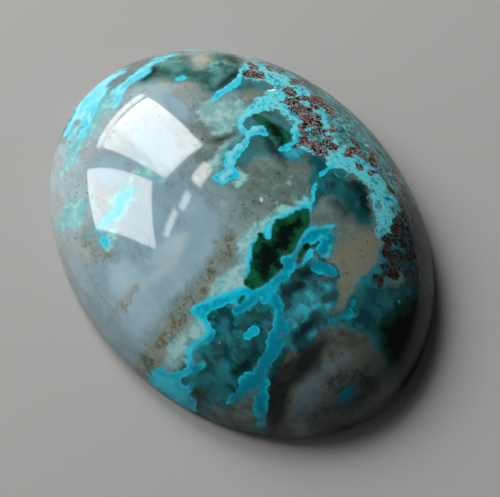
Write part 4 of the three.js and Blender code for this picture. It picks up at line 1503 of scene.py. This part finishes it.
class CopperBuild(bpy.types.Operator):
    """Seal the copper-brown grains under the mottled rim"""
    bl_idname = "cabochon.copper"
    bl_label = "Sealed copper-brown grains"

    def execute(self, context):
        _, tint, _ = settings()
        rng = random.Random(COPPER_SEED)

        def coppery(places):
            return np.clip(0.4 + merged(places, spots=COPPER_SPOTS), 0, 1)

        places = picked_places(rng, COPPER_COUNT, coppery)
        depths = [0.25 + 0.8 * rng.random() for _ in places]
        points, faces = scatter_grains(rng, places, depths, COPPER_SIZE)
        skin = speck_material("sealed cuprite", tint.copper_dark, tint.copper, 4.0, 0.4)
        piece = mesh_piece("copper_grains", points, faces, [skin])
        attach(piece, BODY)
        return {"FINISHED"}


# ---------------------------------------------------------------------------------------------
# Stage

# Each pane as its middle and size across and up on the plane of light in millimetres, its turn in degrees
# and its share of the brightness.
PANES = [
    ((116.0, 2.0), (114.0, 202.0), -1.0, 0.97),
    ((52.0, -2.0), (60.0, 198.0), -17.0, 0.74),
    ((-97.0, 12.0), (152.0, 240.0), -27.0, 0.78),
    ((78.0, -117.0), (184.0, 24.0), -4.0, 0.66),
    ((130.0, 146.0), (52.0, 24.0), -10.0, 0.9),
    ((55.0, 158.0), (46.0, 14.0), -8.0, 0.6),
    ((-18.0, 159.0), (78.0, 13.0), -4.0, 0.7),
]
LIGHT_FAR = 0.4  # from the stone to the plane of light
LIGHT_FROM = Vector((-0.749, -0.173, 0.639))
LIGHT_FOOT = Vector((-7.0, -5.0, 6.0)) * MM
SIDE_FROM = Vector((-0.35, -0.83, 0.43))
SIDE_FAR = 0.6
SIDE_SIZE = (0.7, 0.46)
SKY_COLOUR = (0.9, 0.95, 1.0)
AIM_RIGHT, AIM_DOWN = 0.667, 0.708  # millimetres from the origin to what the camera looks at
SENSOR_WIDE = 36.0
NEAREST, FARTHEST = 0.01, 20.0  # what the camera takes in, in metres


def light_axes(direction):
    """A direction of one metre, and the level and the upward way square to it."""
    towards = direction.normalized()
    across = towards.cross(Vector((0, 0, 1))).normalized()
    return towards, across, across.cross(towards)


def add_light(name, place, right, up, size, power):
    """A soft oblong light that faces against the way right x up points."""
    lamp = bpy.data.lights.new(name, "AREA")
    lamp.shape = "RECTANGLE"
    lamp.size, lamp.size_y = size
    lamp.energy = power
    made = bpy.data.objects.new(name, lamp)
    made.matrix_world = matrix_from(right, up, place)
    bpy.context.scene.collection.objects.link(made)


def matrix_from(right, up, place):
    """A frame with X along right, Y along up and its origin at place."""
    back = right.cross(up).normalized()
    turn = Matrix((right, up, back)).transposed().to_4x4()
    turn.translation = place
    return turn


class StageBuild(bpy.types.Operator):
    """Lay the pale floor, light it softly and set up the camera"""
    bl_idname = "cabochon.stage"
    bl_label = "Floor, light and camera"

    def execute(self, context):
        _, _, stage = settings()
        self.floor(stage)
        self.light(stage)
        self.camera(stage)
        context.scene.view_settings.view_transform = "Standard"
        return {"FINISHED"}

    def floor(self, stage):
        half = stage.floor_size / 2
        level = STONE_LOW.z - stage.floor_gap
        corners = [(-half, -half, level), (half, -half, level), (half, half, level), (-half, half, level)]
        floor = mesh_piece("floor", corners, [[0, 1, 2, 3]], [floor_material()], smooth=False)

    def light(self, stage):
        towards, across, upward = light_axes(LIGHT_FROM)
        middle = LIGHT_FOOT + towards * LIGHT_FAR
        for number, (spot, size, turn, share) in enumerate(PANES):
            turn = math.radians(turn)
            right = across * math.cos(turn) + upward * math.sin(turn)
            up = upward * math.cos(turn) - across * math.sin(turn)
            place = middle + across * (spot[0] * MM) + upward * (spot[1] * MM)
            wide, tall = size[0] * MM, size[1] * MM
            power = share * stage.pane_light * math.pi * wide * tall
            # a light shines along its own -Z, which here is towards the stone
            add_light(f"pane {number + 1}", place, -right, up, (wide, tall), power)
        towards, across, upward = light_axes(SIDE_FROM)
        power = stage.side_light * math.pi * SIDE_SIZE[0] * SIDE_SIZE[1]
        add_light("side fill", towards * SIDE_FAR, -across, upward, SIDE_SIZE, power)
        world = bpy.data.worlds.new("soft fill")
        world.use_nodes = True
        shade = world.node_tree.nodes["Background"]
        shade.inputs["Color"].default_value = (*SKY_COLOUR, 1.0)
        shade.inputs["Strength"].default_value = stage.sky
        bpy.context.scene.world = world

    def camera(self, stage):
        turn, rise = stage.camera_turn, stage.camera_rise
        back = Vector((math.sin(turn) * math.cos(rise), -math.cos(turn) * math.cos(rise), math.sin(rise)))
        right = Vector((math.cos(turn), math.sin(turn), 0.0))
        up = back.cross(right)
        aim = right * (AIM_RIGHT * MM) - up * (AIM_DOWN * MM)
        lens = bpy.data.cameras.new("camera")
        lens.lens = stage.lens
        lens.sensor_width = SENSOR_WIDE
        lens.clip_start, lens.clip_end = NEAREST, FARTHEST
        camera = bpy.data.objects.new("camera", lens)
        camera.matrix_world = matrix_from(right, up, aim + back * stage.camera_far)
        bpy.context.scene.collection.objects.link(camera)
        bpy.context.scene.camera = camera


OPERATORS = [StageBuild, StoneBuild, CurtainBuild, MossBuild, CopperBuild]


class CabochonPanel(bpy.types.Panel):
    """Lists the pieces of the cabochon"""
    bl_idname = "VIEW3D_PT_cabochon"
    bl_label = "Cabochon"
    bl_space_type = "VIEW_3D"
    bl_region_type = "UI"
    bl_category = "Cabochon"

    def draw(self, context):
        for operator in OPERATORS:
            self.layout.operator(operator.bl_idname)
        for name, group in SETTINGS.items():
            box = self.layout.box()
            box.label(text=group.__doc__)
            for setting in group.__annotations__:
                box.prop(getattr(context.scene, name), setting)


def register():
    """Registers the settings, the operators and the panel."""
    for made in (*SETTINGS.values(), *OPERATORS, CabochonPanel):
        bpy.utils.register_class(made)
    for name, group in SETTINGS.items():
        setattr(bpy.types.Scene, name, bpy.props.PointerProperty(type=group))


def unregister():
    """Takes everything back out."""
    for name in SETTINGS:
        delattr(bpy.types.Scene, name)
    for made in (CabochonPanel, *reversed(OPERATORS), *SETTINGS.values()):
        bpy.utils.unregister_class(made)


def main():
    """Builds the stage and every piece."""
    register()
    for operator in OPERATORS:
        group, name = operator.bl_idname.split(".")
        getattr(getattr(bpy.ops, group), name)()


if __name__ == "__main__":
    main()
